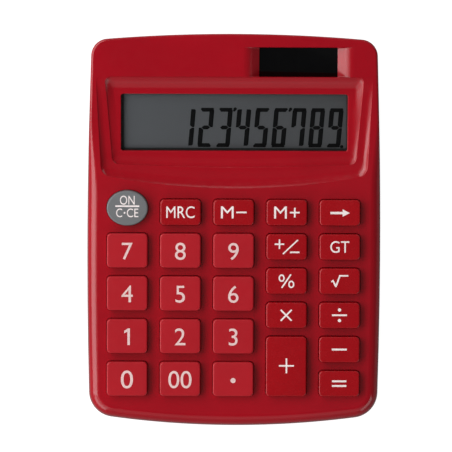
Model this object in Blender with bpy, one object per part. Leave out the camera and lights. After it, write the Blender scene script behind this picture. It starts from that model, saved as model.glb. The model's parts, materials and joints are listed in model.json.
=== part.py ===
"""Compact twelve-digit desk calculator, built from its separate pieces.

Frame: metres, +Z up, +Y towards the display end and +X to the user's right. The origin is on the
table, under the middle of the case. Each key's object has its origin on its own line of travel,
and the battery door's object has its origin on the door's hinge line.
"""

import math

import bmesh
import bpy
from mathutils import Matrix, Vector

MM = 0.001

# Case outline, seen from above: four large arcs that meet at round corners.
CASE_WIDTH = 102 * MM
CASE_LENGTH = 136 * MM
WIDEST_Y = -5 * MM
SIDE_BOW_RADIUS = 1800 * MM
FRONT_BOW_RADIUS = 320 * MM
REAR_BOW_RADIUS = 540 * MM
FRONT_CORNER_RADIUS = 9 * MM
REAR_CORNER_RADIUS = 6.3 * MM

# Case side profile: a gently sloping keyboard that bends up into the display hood.
KEYBOARD_HEIGHT = 16.2 * MM  # top face above the table, over the origin
KEYBOARD_TILT = math.radians(4.5)
HOOD_TILT = math.radians(15)
BEND_START = 12 * MM
BEND_END = 40 * MM
UNDERSIDE = 1 * MM
PARTING_HEIGHT = 8.5 * MM
PARTING_TILT = math.radians(2.5)
WALL = 2 * MM
WALL_DRAFT = 0.35 * MM
LIP_HEIGHT = 1.5 * MM  # how far the back shell's lip reaches up inside the front shell
KEYBOARD_EDGE_RADIUS = 3.6 * MM
HOOD_EDGE_RADIUS = 1 * MM
FIT_GAP = 0.3 * MM  # clearance between any two pieces that touch on the real object

# Keys: three digit columns and two function columns.
MIDDLE_COLUMN_X = -0.1 * MM
COLUMN_PITCH = 18.42 * MM
DIGIT_PITCH = 14.9 * MM
FUNCTION_PITCH = 11.9 * MM
TOP_ROW_Y = 6.25 * MM
FIRST_DIGIT_Y = -7.1 * MM
KEY_WIDTH = 14.3 * MM
DIGIT_KEY_LENGTH = 12.1 * MM
FUNCTION_KEY_LENGTH = 9.1 * MM
CLEAR_KEY_SIZE = (14.4 * MM, 12.3 * MM)
CLEAR_KEY_Y = 7.65 * MM
KEY_CORNER_RADIUS = 1.5 * MM
KEY_HEIGHT = 2.6 * MM
KEY_OPENING_GAP = 0.2 * MM
KEY_FLANGE_REACH = 0.95 * MM
KEY_WALL = 1.2 * MM
KEY_TAPER = 0.1 * MM  # how far a key's sides lean in on the way up
STEM_RADIUS = 2 * MM

# Heights in the keyboard's own frame, where 0 is the case's top face over the keys.
FLANGE_TOP = -2.3 * MM
FLANGE_BOTTOM = -3.1 * MM
STEM_END = -3.5 * MM
DOME_TOP = -3.8 * MM
SHEET_TOP = -5.3 * MM
SHEET_BOTTOM = -6.1 * MM
BOARD_TOP = -6.4 * MM
BOARD_BOTTOM = -7.6 * MM

# Board and keypad sheet, in the keyboard's frame.
BOARD_HALF_WIDTH = 45 * MM
BOARD_FRONT = -59 * MM
BOARD_REAR = 12 * MM
DOME_BASE_RADIUS = 3.9 * MM
DOME_TOP_RADIUS = 2.4 * MM
DOME_SKIN = 0.6 * MM

# Display recess: a ramp that deepens towards the keys, with a second step around the window.
RAMP_TOP_Y = 53 * MM
RAMP_BOTTOM_Y = 14.6 * MM
RAMP_TOP_DEPTH = 0.1 * MM
RAMP_BOTTOM_DEPTH = 2.3 * MM
RAMP_HALF_WIDTH_TOP = 47.7 * MM
RAMP_HALF_WIDTH_BOTTOM = 46.1 * MM
RAMP_BOW_RADIUS = 240 * MM
RAMP_CORNER_RADIUS = 3.8 * MM
RAMP_WALL = 2.3 * MM
RAMP_SAG = 0.8 * MM  # how far the recess's floor hangs below a straight line, halfway up
RAMP_FADE = 6 * MM  # the recess's upper edge is a barely sloping band of this plan width
COVE_WIDTH = 6.5 * MM  # plan width of the curved wall at the recess's lower edge
STEP_TOP_Y = 52.7 * MM
STEP_BOTTOM_Y = 21.9 * MM
STEP_HALF_WIDTH_TOP = 44.4 * MM
STEP_HALF_WIDTH_BOTTOM = 42.2 * MM
STEP_BOW_RADIUS = 900 * MM
STEP_CORNER_RADIUS = 2.6 * MM
STEP_WALL = 2.8 * MM  # plan width of the step's side walls
STEP_APRON = 5 * MM  # plan width of the gentle slope at the step's lower edge
STEP_SLOPE_WIDTH = 3.8 * MM  # plan width of the step's sloping upper wall
PANEL_BOTTOM_DEPTH = 1.7 * MM  # depths of the panel below the straight line, at its two ends
PANEL_TOP_DEPTH = 1.75 * MM
PANEL_THICKNESS = 0.9 * MM

# Window, lens and liquid crystal display, in the panel's tilted frame.
WINDOW_CENTRE_Y = 37.2 * MM
WINDOW_SIZE = (78.5 * MM, 20.3 * MM)
WINDOW_CORNER_RADIUS = 0.8 * MM
LENS_FLANGE = 2 * MM
LCD_SIZE = (84 * MM, 27 * MM)
LENS_TOP = -0.1 * MM
LENS_FLANGE_TOP = -1.05 * MM
LENS_BOTTOM = -1.4 * MM
GASKET_TOP = -1.5 * MM
GASKET_BOTTOM = -1.8 * MM
LCD_TOP = -1.9 * MM
LCD_BOTTOM = -3.7 * MM
REFLECTOR_TOP = -3.85 * MM
REFLECTOR_BOTTOM = -4.15 * MM

# Solar cell, behind a window with sloping ends, in the hood's tilted frame. The window's long
# walls are upright, so in this frame they drift towards the keys on their way down.
SOLAR_CENTRE = (22.1 * MM, 58 * MM)
SOLAR_WINDOW = (27.1 * MM, 10.45 * MM)
SOLAR_SLOPE = 3.75 * MM
SOLAR_BLOCK_DEPTH = 3.1 * MM
SOLAR_CELL = (29.6 * MM, 12.2 * MM)
SOLAR_CELL_TOP = -3.3 * MM
SOLAR_CELL_BOTTOM = -4.4 * MM
SOLAR_CELL_Y = SOLAR_CELL_TOP * math.tan(HOOD_TILT)

# Fasteners and feet. Each case screw is (x, y, height at which boss and post meet).
CASE_SCREWS = [
    (side * x * MM, y * MM, meet * MM)
    for x, y, meet in ((9.25, -61.9, 5.5), (44.5, 15.0, 7.0), (43.0, 60.0, 8.5))
    for side in (-1, 1)
]
BOSS_RADIUS = 2.5 * MM
POST_RADIUS = 3.4 * MM
CASE_SHANK = (1.1 * MM, 5.5 * MM)
CASE_HEAD = (2.2 * MM, 1.6 * MM)
SEAT_BELOW_MEET = 2.6 * MM
BOARD_SCREWS = [
    (MIDDLE_COLUMN_X + columns * COLUMN_PITCH, y)
    for columns, y in (
        (-1.5, FIRST_DIGIT_Y - 0.5 * DIGIT_PITCH),
        (-1.5, FIRST_DIGIT_Y - 2.5 * DIGIT_PITCH),
        (1.5, TOP_ROW_Y - 1.5 * FUNCTION_PITCH),
        (1.5, TOP_ROW_Y - 3.5 * FUNCTION_PITCH),
    )
]
BOARD_BOSS_RADIUS = 1.7 * MM
BOARD_SHANK = (0.7 * MM, 4.3 * MM)
BOARD_HEAD = (1.5 * MM, 1 * MM)
FEET = [(side * 37 * MM, y * MM) for y in (-52.5, 52.5) for side in (-1, 1)]
FOOT_RADIUS = 4.5 * MM
FOOT_THICKNESS = 1.4 * MM

# Battery bay in the back shell, opening downwards under a hinged door.
DOOR_BOX = (-13 * MM, 13 * MM, 36 * MM, 56 * MM)
DOOR_THICKNESS = 1 * MM
DOOR_RECESS = 1.3 * MM
BAY_BOX = (-11 * MM, 11 * MM, 38.5 * MM, 54 * MM)
BAY_ROOF = 6.9 * MM
BAY_SKIN = 1.2 * MM
CELL_CENTRE = (3.5 * MM, 46.25 * MM)
CELL_RADIUS = 5.8 * MM
CELL_HEIGHTS = (2.7 * MM, 5.8 * MM)
TONGUE_XS = (-8 * MM, 8 * MM)
TONGUE_WIDTH = 3 * MM

ABOVE_ALL = 45 * MM  # cutters that open upwards reach this height


def linear(red, green, blue):
    """Display colour values from 0 to 255 as a linear colour with alpha."""

    def channel(value):
        value /= 255
        return value / 12.92 if value <= 0.04045 else ((value + 0.055) / 1.055) ** 2.4

    return (channel(red), channel(green), channel(blue), 1.0)


MATERIALS = {
    "case_red": (linear(160, 16, 30), 0.32, 0.0),
    "digit_key_red": (linear(170, 32, 43), 0.45, 0.0),
    "function_key_red": (linear(158, 16, 28), 0.38, 0.0),
    "clear_key_grey": (linear(116, 122, 120), 0.45, 0.0),
    "lens_clear": (linear(200, 205, 205), 0.05, 0.0),
    "lcd_grey": (linear(80, 82, 85), 0.3, 0.0),
    "gasket_black": (linear(20, 20, 20), 0.8, 0.0),
    "reflector_silver": (linear(190, 195, 200), 0.4, 0.6),
    "ribbon_amber": (linear(150, 110, 60), 0.5, 0.0),
    "sheet_grey": (linear(190, 190, 185), 0.7, 0.0),
    "board_brown": (linear(140, 100, 50), 0.6, 0.0),
    "epoxy_black": (linear(15, 15, 16), 0.25, 0.0),
    "can_blue": (linear(30, 50, 110), 0.35, 0.1),
    "solar_black": (linear(8, 8, 9), 0.1, 0.0),
    "steel": (linear(180, 180, 182), 0.3, 1.0),
    "nickel": (linear(200, 198, 190), 0.25, 1.0),
    "foot_rubber": (linear(45, 45, 46), 0.85, 0.0),
    "wire_red": (linear(180, 20, 20), 0.45, 0.0),
    "wire_black": (linear(20, 20, 20), 0.45, 0.0),
}


# ---------------------------------------------------------------- heights and frames


def top_height(y):
    """Height of the case's top face: flat over the keys, a smooth bend, then flat over the hood."""
    low, high = math.tan(KEYBOARD_TILT), math.tan(HOOD_TILT)
    bend = min(max(y - BEND_START, 0), BEND_END - BEND_START)
    past = max(y - BEND_END, 0)
    bent = (high - low) * bend**2 / (2 * (BEND_END - BEND_START))
    return KEYBOARD_HEIGHT + low * y + bent + (high - low) * past


def parting_height(y):
    """Height of the plane where the two shells meet."""
    return PARTING_HEIGHT + math.tan(PARTING_TILT) * y


def edge_radius(y):
    """Radius of the case's top edge: large beside the keys, small along the hood."""
    share = min(max((y - BEND_START) / (BEND_END - BEND_START), 0), 1)
    share = share * share * (3 - 2 * share)
    return KEYBOARD_EDGE_RADIUS + (HOOD_EDGE_RADIUS - KEYBOARD_EDGE_RADIUS) * share


def ramp_line(y):
    """Height of a straight line from the display recess's lower edge to its upper edge."""
    top = top_height(RAMP_TOP_Y) - RAMP_TOP_DEPTH
    bottom = top_height(RAMP_BOTTOM_Y) - RAMP_BOTTOM_DEPTH
    return bottom + (top - bottom) * (y - RAMP_BOTTOM_Y) / (RAMP_TOP_Y - RAMP_BOTTOM_Y)


def ramp_height(y):
    """Height of the display recess's sloping floor, which hangs in a shallow curve."""
    share = (y - RAMP_BOTTOM_Y) / (RAMP_TOP_Y - RAMP_BOTTOM_Y)
    share = min(max(share, 0), 1)
    return ramp_line(y) - 4 * RAMP_SAG * share * (1 - share)


def panel_height(y):
    """Height of the flat inner floor that the window is cut in."""
    low, high = STEP_BOTTOM_Y + STEP_APRON, STEP_TOP_Y - STEP_SLOPE_WIDTH
    share = (y - low) / (high - low)
    return ramp_line(y) - PANEL_BOTTOM_DEPTH - (PANEL_TOP_DEPTH - PANEL_BOTTOM_DEPTH) * share


def tilted_frame(name, x, y, height):
    """An empty that lies on a surface that slopes along Y, with its Z axis along the normal."""
    step = 1 * MM
    tilt = math.atan2(height(y + step) - height(y), step)
    frame = bpy.data.objects.new(name, None)
    frame.location = (x, y, height(y))
    frame.rotation_euler = (tilt, 0, 0)
    bpy.context.scene.collection.objects.link(frame)
    return frame


# ---------------------------------------------------------------- outlines


def circles_meet(centre_a, radius_a, centre_b, radius_b, towards):
    """The point where two circles cross, on the side nearest to towards."""
    gap = centre_b - centre_a
    along = (radius_a**2 - radius_b**2 + gap.length_squared) / (2 * gap.length)
    across = math.sqrt(radius_a**2 - along**2)
    direction = gap.normalized()
    normal = Vector((-direction.y, direction.x))
    points = [centre_a + direction * along + normal * across * sign for sign in (-1, 1)]
    return min(points, key=lambda point: (point - towards).length)


def arc(centre, radius, start, end, steps):
    """Points and outward normals along an arc, without its last point."""
    angles = [start + (end - start) * i / steps for i in range(steps)]
    normals = [Vector((math.cos(a), math.sin(a))) for a in angles]
    return [(centre + normal * radius, normal) for normal in normals]


def case_outline(bow_steps=4, corner_steps=4, bend_steps=4):
    """Right half of the case's outline from front to rear, as (point, outward normal) pairs."""
    side = Vector((CASE_WIDTH / 2 - SIDE_BOW_RADIUS, WIDEST_Y))
    front = Vector((0, FRONT_BOW_RADIUS - CASE_LENGTH / 2))
    rear = Vector((0, CASE_LENGTH / 2 - REAR_BOW_RADIUS))
    front_corner = circles_meet(
        side,
        SIDE_BOW_RADIUS - FRONT_CORNER_RADIUS,
        front,
        FRONT_BOW_RADIUS - FRONT_CORNER_RADIUS,
        Vector((CASE_WIDTH / 2, -CASE_LENGTH / 2)),
    )
    rear_corner = circles_meet(
        side,
        SIDE_BOW_RADIUS - REAR_CORNER_RADIUS,
        rear,
        REAR_BOW_RADIUS - REAR_CORNER_RADIUS,
        Vector((CASE_WIDTH / 2, CASE_LENGTH / 2)),
    )

    def bearing(centre, point):
        return math.atan2(point.y - centre.y, point.x - centre.x)

    front_turn = bearing(front, front_corner)
    side_start = bearing(side, front_corner)
    side_end = bearing(side, rear_corner)
    rear_turn = bearing(rear, rear_corner)
    points = arc(front, FRONT_BOW_RADIUS, -math.pi / 2, front_turn, bow_steps)
    points += arc(front_corner, FRONT_CORNER_RADIUS, front_turn, side_start, corner_steps)
    side_ys = [-30 * MM] + [
        BEND_START + (BEND_END - BEND_START) * i / bend_steps
        for i in range(bend_steps + 1)
    ]
    angles = [side_start] + [math.asin((y - WIDEST_Y) / SIDE_BOW_RADIUS) for y in side_ys]
    for angle in angles:
        normal = Vector((math.cos(angle), math.sin(angle)))
        points.append((side + normal * SIDE_BOW_RADIUS, normal))
    points += arc(rear_corner, REAR_CORNER_RADIUS, side_end, rear_turn, corner_steps)
    points += arc(rear, REAR_BOW_RADIUS, rear_turn, math.pi / 2, bow_steps)
    points.append((Vector((0, CASE_LENGTH / 2)), Vector((0, 1))))
    return points


def mirrored(points):
    """A closed loop from its right half, whose first and last points are on the centre line."""
    left = [Vector((-p.x, p.y, *p[2:])) for p in reversed(points[1:-1])]
    return list(points) + left


def case_loop(inset, height):
    """The case's outline moved inwards, lifted to the height that height(y) gives."""
    half = []
    for point, normal in case_outline():
        moved = point - normal * inset(point.y)
        x = 0.0 if abs(moved.x) < 1e-9 else moved.x
        half.append(Vector((x, moved.y, height(moved.y))))
    return mirrored(half)


def recess_outline(half_widths, ys, bow_radius, corner_radius, top_corner=2 * MM):
    """Closed outline of a display recess, with a bowed lower edge and sides that splay upwards.

    half_widths and ys are each (lower, upper). The loop is a list of flat points.
    """
    (low_x, high_x), (low_y, high_y) = half_widths, ys
    bow = Vector((0, low_y + bow_radius))
    corner_x = low_x - corner_radius
    lift = math.sqrt((bow_radius - corner_radius) ** 2 - corner_x**2)
    corner = Vector((corner_x, bow.y - lift))
    turn = math.atan2(corner.y - bow.y, corner.x - bow.x)
    points = [p for p, _ in arc(bow, bow_radius, -math.pi / 2, turn, 5)]
    points += [p for p, _ in arc(corner, corner_radius, turn, 0, 4)]
    top = Vector((high_x - top_corner, high_y - top_corner))
    start, end = Vector((low_x, corner.y)), Vector((high_x, top.y))
    points += [start.lerp(end, i / 5) for i in range(5)]
    points += [p for p, _ in arc(top, top_corner, 0, math.pi / 2, 2)]
    points += [Vector((top.x, high_y)), Vector((0, high_y))]
    return mirrored(points)


def rounded_rectangle(width, length, radius, steps=2):
    """Closed outline of a rectangle with round corners, centred on the origin."""
    points = []
    for quarter in range(4):
        sign_x = (1, -1, -1, 1)[quarter]
        sign_y = (1, 1, -1, -1)[quarter]
        centre = Vector((sign_x * (width / 2 - radius), sign_y * (length / 2 - radius)))
        for i in range(steps + 1):
            angle = (quarter + i / steps) * math.pi / 2
            points.append(centre + Vector((math.cos(angle), math.sin(angle))) * radius)
    return points


def ellipse(width, length, count):
    """Closed outline of an ellipse, with its points spread as a rounded rectangle's are."""
    points = []
    for i in range(count):
        angle = (i + 0.5) * 2 * math.pi / count
        points.append(Vector((math.cos(angle) * width / 2, math.sin(angle) * length / 2)))
    return points


def at_height(outline, z):
    """A flat outline as 3-D points. z is a number, or a function of y."""
    height = z if callable(z) else lambda y: z
    return [Vector((p.x, p.y, height(p.y))) for p in outline]


# ---------------------------------------------------------------- meshes and objects


def skin(loops, closed=False, strips=False):
    """A bmesh through loops of equal length, capped at both ends unless the loops form a ring.

    With strips, each cap is a row of strips from side to side, which can follow a bend along Y.
    """
    mesh = bmesh.new()
    rows = [[mesh.verts.new(p) for p in loop] for loop in loops]
    count = len(loops[0])
    pairs = list(zip(rows, rows[1:] + rows[:1] if closed else rows[1:]))
    for low, high in pairs:
        for i in range(count):
            j = (i + 1) % count
            mesh.faces.new((low[i], low[j], high[j], high[i]))
    if not closed:
        for row in (rows[0], rows[-1]):
            if strips:
                add_strips(mesh, row)
            else:
                mesh.faces.new(row)
    bmesh.ops.recalc_face_normals(mesh, faces=mesh.faces)
    return mesh


def add_strips(mesh, row):
    """Closes a mirrored loop with a triangle at each end and strips across between them."""
    half = len(row) // 2
    mesh.faces.new((row[0], row[1], row[-1]))
    for i in range(1, half - 1):
        mesh.faces.new((row[i], row[i + 1], row[-i - 1], row[-i]))
    mesh.faces.new((row[half - 1], row[half], row[half + 1]))


def merged(meshes):
    """One bmesh that holds several, which stay separate bodies."""
    whole = bmesh.new()
    for mesh in meshes:
        data = bpy.data.meshes.new("part")
        mesh.to_mesh(data)
        whole.from_mesh(data)
        bpy.data.meshes.remove(data)
        mesh.free()
    return whole


def moved(mesh, x=0.0, y=0.0, z=0.0):
    """The bmesh, shifted."""
    bmesh.ops.translate(mesh, vec=(x, y, z), verts=mesh.verts)
    return mesh


def prism(outline, low, high):
    """A straight solid between two heights, each a number or a function of y."""
    return skin([at_height(outline, low), at_height(outline, high)])


def box(x0, x1, y0, y1, z0, z1):
    """A box between six coordinates."""
    outline = [Vector((x0, y0)), Vector((x1, y0)), Vector((x1, y1)), Vector((x0, y1))]
    return prism(outline, z0, z1)


def turned(profile, sides):
    """A solid of revolution about Z from (radius, z) pairs that run from bottom to top."""
    loops = [at_height(ellipse(2 * r, 2 * r, sides), z) for r, z in profile]
    return skin(loops)


def cylinder(x, y, radius, low, high, sides=12):
    """An upright cylinder."""
    return moved(turned([(radius, low), (radius, high)], sides), x, y)


def add_object(name, mesh, material=None, parent=None):
    """Links a bmesh to the scene as an object and frees the bmesh."""
    data = bpy.data.meshes.new(name)
    mesh.to_mesh(data)
    mesh.free()
    obj = bpy.data.objects.new(name, data)
    obj.parent = parent
    bpy.context.scene.collection.objects.link(obj)
    if material:
        data.materials.append(bpy.data.materials[material])
        data.shade_smooth()
        data.set_sharp_from_angle(angle=math.radians(32))
    return obj


def boolean(target, name, mesh, operation="DIFFERENCE", parent=None):
    """Cuts or joins a helper solid, which stays hidden in the scene. Returns the helper."""
    helper = add_object(name, mesh, parent=parent)
    helper.hide_render = True
    helper.display_type = "WIRE"
    modifier = target.modifiers.new(name, "BOOLEAN")
    modifier.operation = operation
    modifier.solver = "EXACT"
    modifier.object = helper
    return helper


def make_materials():
    for name, (colour, roughness, metallic) in MATERIALS.items():
        material = bpy.data.materials.new(name)
        material.use_nodes = True
        shader = material.node_tree.nodes["Principled BSDF"]
        shader.inputs["Base Color"].default_value = colour
        shader.inputs["Roughness"].default_value = roughness
        shader.inputs["Metallic"].default_value = metallic


# ---------------------------------------------------------------- keys


def key_table():
    """Every key as (name, x, y, width, length, material), in the keyboard's frame."""
    digits = (
        ("key_7", "key_8", "key_9"),
        ("key_4", "key_5", "key_6"),
        ("key_1", "key_2", "key_3"),
        ("key_0", "key_00", "key_point"),
    )
    keys = [("key_on_clear", -2, CLEAR_KEY_Y, *CLEAR_KEY_SIZE, "clear_key_grey")]
    for row, names in enumerate(digits):
        y = FIRST_DIGIT_Y - row * DIGIT_PITCH
        for column, name in enumerate(names):
            keys.append((name, column - 2, y, KEY_WIDTH, DIGIT_KEY_LENGTH, "digit_key_red"))
    top_row = ("key_memory_recall", "key_memory_minus", "key_memory_plus", "key_backspace")
    functions = [(name, column - 1, 0) for column, name in enumerate(top_row)]
    functions += [
        (name, 1, row + 1)
        for row, name in enumerate(("key_sign", "key_percent", "key_multiply"))
    ]
    right_column = ("key_grand_total", "key_root", "key_divide", "key_minus", "key_equals")
    functions += [(name, 2, row + 1) for row, name in enumerate(right_column)]
    for name, column, row in functions:
        y = TOP_ROW_Y - row * FUNCTION_PITCH
        keys.append((name, column, y, KEY_WIDTH, FUNCTION_KEY_LENGTH, "function_key_red"))
    plus_length = FUNCTION_PITCH + FUNCTION_KEY_LENGTH
    plus_y = TOP_ROW_Y - 4.5 * FUNCTION_PITCH
    keys.append(("key_plus", 1, plus_y, KEY_WIDTH, plus_length, "function_key_red"))
    return [(name, MIDDLE_COLUMN_X + column * COLUMN_PITCH, *rest) for name, column, *rest in keys]


def key_outline(name, width, length, outset):
    """Outline of a key grown by outset: an ellipse for the clear key, else a rounded rectangle."""
    wide, long = width + 2 * outset, length + 2 * outset
    if name == "key_on_clear":
        return ellipse(wide, long, 12)
    return rounded_rectangle(wide, long, max(KEY_CORNER_RADIUS + outset, 0.3 * MM))


def build_key(keyboard, name, x, y, width, length, material):
    """A hollow cap with a retaining flange below and a stem that presses the rubber dome."""
    ceiling = KEY_HEIGHT - KEY_WALL
    stem = ellipse(2 * STEM_RADIUS, 2 * STEM_RADIUS, 12)
    levels = [
        (stem, STEM_END),
        (stem, ceiling),
        (key_outline(name, width, length, -KEY_WALL - 0.3 * MM), ceiling),
        (key_outline(name, width, length, -KEY_WALL), FLANGE_BOTTOM),
        (key_outline(name, width, length, KEY_FLANGE_REACH), FLANGE_BOTTOM),
        (key_outline(name, width, length, KEY_FLANGE_REACH), FLANGE_TOP),
        (key_outline(name, width, length, 0), FLANGE_TOP),
        (key_outline(name, width, length, -KEY_TAPER), KEY_HEIGHT - 0.5 * MM),
        (key_outline(name, width, length, -KEY_TAPER - 0.4 * MM), KEY_HEIGHT),
    ]
    mesh = skin([at_height(outline, z) for outline, z in levels])
    key = add_object(name, mesh, material, keyboard)
    key.location = (x, y, 0)


# ---------------------------------------------------------------- case


def front_cavity():
    """The hollow inside the front shell, before the solid blocks around the display are kept."""
    loops = [
        case_loop(lambda y: WALL, lambda y: parting_height(y) - WALL),
        case_loop(lambda y: WALL, lambda y: parting_height(y) + LIP_HEIGHT),
        case_loop(lambda y: WALL + WALL_DRAFT, lambda y: top_height(y) - WALL - 1 * MM),
        case_loop(lambda y: WALL + WALL_DRAFT + 1 * MM, lambda y: top_height(y) - WALL),
    ]
    return skin(loops, strips=True)


def ramp_outline(outset):
    """Outline of the display recess at the case's top face, grown by outset."""
    return recess_outline(
        (RAMP_HALF_WIDTH_BOTTOM + outset, RAMP_HALF_WIDTH_TOP + outset),
        (RAMP_BOTTOM_Y - outset, RAMP_TOP_Y + outset),
        RAMP_BOW_RADIUS,
        RAMP_CORNER_RADIUS,
    )


def ramp_floor_outline():
    """Outline of the recess's floor: close to the lip at the sides, far from it above and below."""
    return recess_outline(
        (RAMP_HALF_WIDTH_BOTTOM - RAMP_WALL, RAMP_HALF_WIDTH_TOP - RAMP_WALL),
        (RAMP_BOTTOM_Y + COVE_WIDTH, RAMP_TOP_Y - RAMP_FADE),
        RAMP_BOW_RADIUS - COVE_WIDTH,
        RAMP_CORNER_RADIUS - RAMP_WALL,
    )


def step_outline(outset):
    """Outline of the inner step around the window, grown by outset."""
    return recess_outline(
        (STEP_HALF_WIDTH_BOTTOM + outset, STEP_HALF_WIDTH_TOP + outset),
        (STEP_BOTTOM_Y - outset, STEP_TOP_Y + outset),
        STEP_BOW_RADIUS,
        STEP_CORNER_RADIUS,
    )


def recess_cutter():
    """The display recess down to its sloping floor, with splayed walls and a wide lower cove."""
    floor, lip = ramp_floor_outline(), ramp_outline(0)
    middle = []
    for low, high in zip(floor, lip):
        point = low.lerp(high, 0.55)
        rise = 0.35 * (top_height(high.y) - ramp_height(high.y))
        middle.append(Vector((point.x, point.y, ramp_height(point.y) + rise)))
    return skin(
        [
            at_height(floor, ramp_height),
            middle,
            at_height(lip, lambda y: top_height(y) + 0.05 * MM),
            at_height(ramp_outline(0.4 * MM), ABOVE_ALL),
        ],
        strips=True,
    )


def step_cutter():
    """The inner step down to the panel's face, with splayed walls."""
    floor = recess_outline(
        (STEP_HALF_WIDTH_BOTTOM - STEP_WALL, STEP_HALF_WIDTH_TOP - STEP_WALL),
        (STEP_BOTTOM_Y + STEP_APRON, STEP_TOP_Y - STEP_SLOPE_WIDTH),
        STEP_BOW_RADIUS,
        0.8 * MM,
        0.8 * MM,
    )
    return skin(
        [
            at_height(floor, panel_height),
            at_height(step_outline(0), lambda y: ramp_height(y) + 0.05 * MM),
            at_height(step_outline(0), ABOVE_ALL),
        ]
    )


def build_front_shell(keyboard, panel, hood):
    """Top casing: hollow, with the display recess, all openings and the screw bosses inside."""

    def draft(y):
        return WALL_DRAFT

    loops = [case_loop(lambda y: 0, parting_height)]
    loops.append(case_loop(draft, lambda y: top_height(y) - edge_radius(y)))
    for degrees in (30, 60, 90):
        angle = math.radians(degrees)
        loops.append(
            case_loop(
                lambda y, a=angle: WALL_DRAFT + edge_radius(y) * (1 - math.cos(a)),
                lambda y, a=angle: top_height(y) - edge_radius(y) * (1 - math.sin(a)),
            )
        )
    shell = add_object("front_shell", skin(loops, strips=True), "case_red")

    cavity = boolean(shell, "cut_front_cavity", front_cavity())
    kept = skin(
        [
            at_height(ramp_outline(1.2 * MM), lambda y: ramp_height(y) - PANEL_THICKNESS),
            at_height(ramp_outline(1.2 * MM), ABOVE_ALL),
        ],
        strips=True,
    )
    boolean(cavity, "keep_ramp", kept)
    kept = prism(
        step_outline(1 * MM), lambda y: panel_height(y) - PANEL_THICKNESS, ABOVE_ALL
    )
    boolean(cavity, "keep_panel", kept)
    block = (SOLAR_WINDOW[0] + 2 * SOLAR_SLOPE + 4 * MM, SOLAR_WINDOW[1] + 3.6 * MM)
    kept = prism(rounded_rectangle(*block, 1 * MM), -SOLAR_BLOCK_DEPTH, ABOVE_ALL)
    boolean(cavity, "keep_solar_frame", kept, parent=hood)
    bosses = [cylinder(x, y, BOSS_RADIUS, meet, ABOVE_ALL) for x, y, meet in CASE_SCREWS]
    boolean(cavity, "keep_case_bosses", merged(bosses))
    bosses = [
        cylinder(x, y, BOARD_BOSS_RADIUS, BOARD_TOP + FIT_GAP, 10 * MM, 8)
        for x, y in BOARD_SCREWS
    ]
    boolean(cavity, "keep_board_bosses", merged(bosses), parent=keyboard)

    boolean(shell, "cut_recess", recess_cutter())
    boolean(shell, "cut_step", step_cutter())
    window = rounded_rectangle(*WINDOW_SIZE, WINDOW_CORNER_RADIUS)
    boolean(shell, "cut_window", prism(window, -4 * MM, 8 * MM), parent=panel)
    pocket = [side + 2 * LENS_FLANGE + 2 * FIT_GAP for side in WINDOW_SIZE]
    pocket = prism(rounded_rectangle(*pocket, 1.2 * MM), -6 * MM, LENS_FLANGE_TOP + 0.1 * MM)
    boolean(shell, "cut_lens_seat", pocket, parent=panel)
    boolean(shell, "cut_solar_window", solar_cutter(), parent=hood)
    pocket = [side + 2 * FIT_GAP for side in SOLAR_CELL]
    pocket = prism(rounded_rectangle(*pocket, 0.4 * MM), -5 * MM, FIT_GAP + SOLAR_CELL_TOP)
    boolean(shell, "cut_solar_pocket", moved(pocket, y=SOLAR_CELL_Y), parent=hood)
    openings = [
        moved(prism(key_outline(name, w, l, KEY_OPENING_GAP), -4 * MM, 4 * MM), x, y)
        for name, x, y, w, l, _ in key_table()
    ]
    boolean(shell, "cut_key_openings", merged(openings), parent=keyboard)
    pilots = [pilot_hole(x, y, meet) for x, y, meet in CASE_SCREWS]
    boolean(shell, "cut_case_pilots", merged(pilots))
    shank_tip = BOARD_BOTTOM - FIT_GAP + BOARD_SHANK[1]
    pilots = [
        cylinder(
            x,
            y,
            BOARD_SHANK[0] + FIT_GAP,
            BOARD_TOP,
            shank_tip + FIT_GAP,
            8,
        )
        for x, y in BOARD_SCREWS
    ]
    boolean(shell, "cut_board_pilots", merged(pilots), parent=keyboard)


def pilot_hole(x, y, meet):
    """The blind hole in a case boss that takes the screw's shank."""
    tip = meet - SEAT_BELOW_MEET - FIT_GAP + CASE_SHANK[1]
    return cylinder(x, y, CASE_SHANK[0] + FIT_GAP, meet - 1 * MM, tip + FIT_GAP, 10)


def solar_cutter():
    """The solar cell's window: upright above and below the cell, sloping at its two ends."""
    narrow, length = SOLAR_WINDOW
    wide = narrow + 2 * SOLAR_SLOPE
    slope_bottom = -SOLAR_BLOCK_DEPTH + 0.4 * MM
    overshoot = 1 * MM
    spread = overshoot * SOLAR_SLOPE / -slope_bottom
    radius = 0.3 * MM
    levels = [
        (narrow, -SOLAR_BLOCK_DEPTH - 1 * MM),
        (narrow, slope_bottom),
        (wide + 2 * spread, overshoot),
    ]
    loops = []
    for wide, z in levels:
        drift = Vector((0, z * math.tan(HOOD_TILT)))
        loops.append(at_height([p + drift for p in rounded_rectangle(wide, length, radius)], z))
    return skin(loops)


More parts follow.
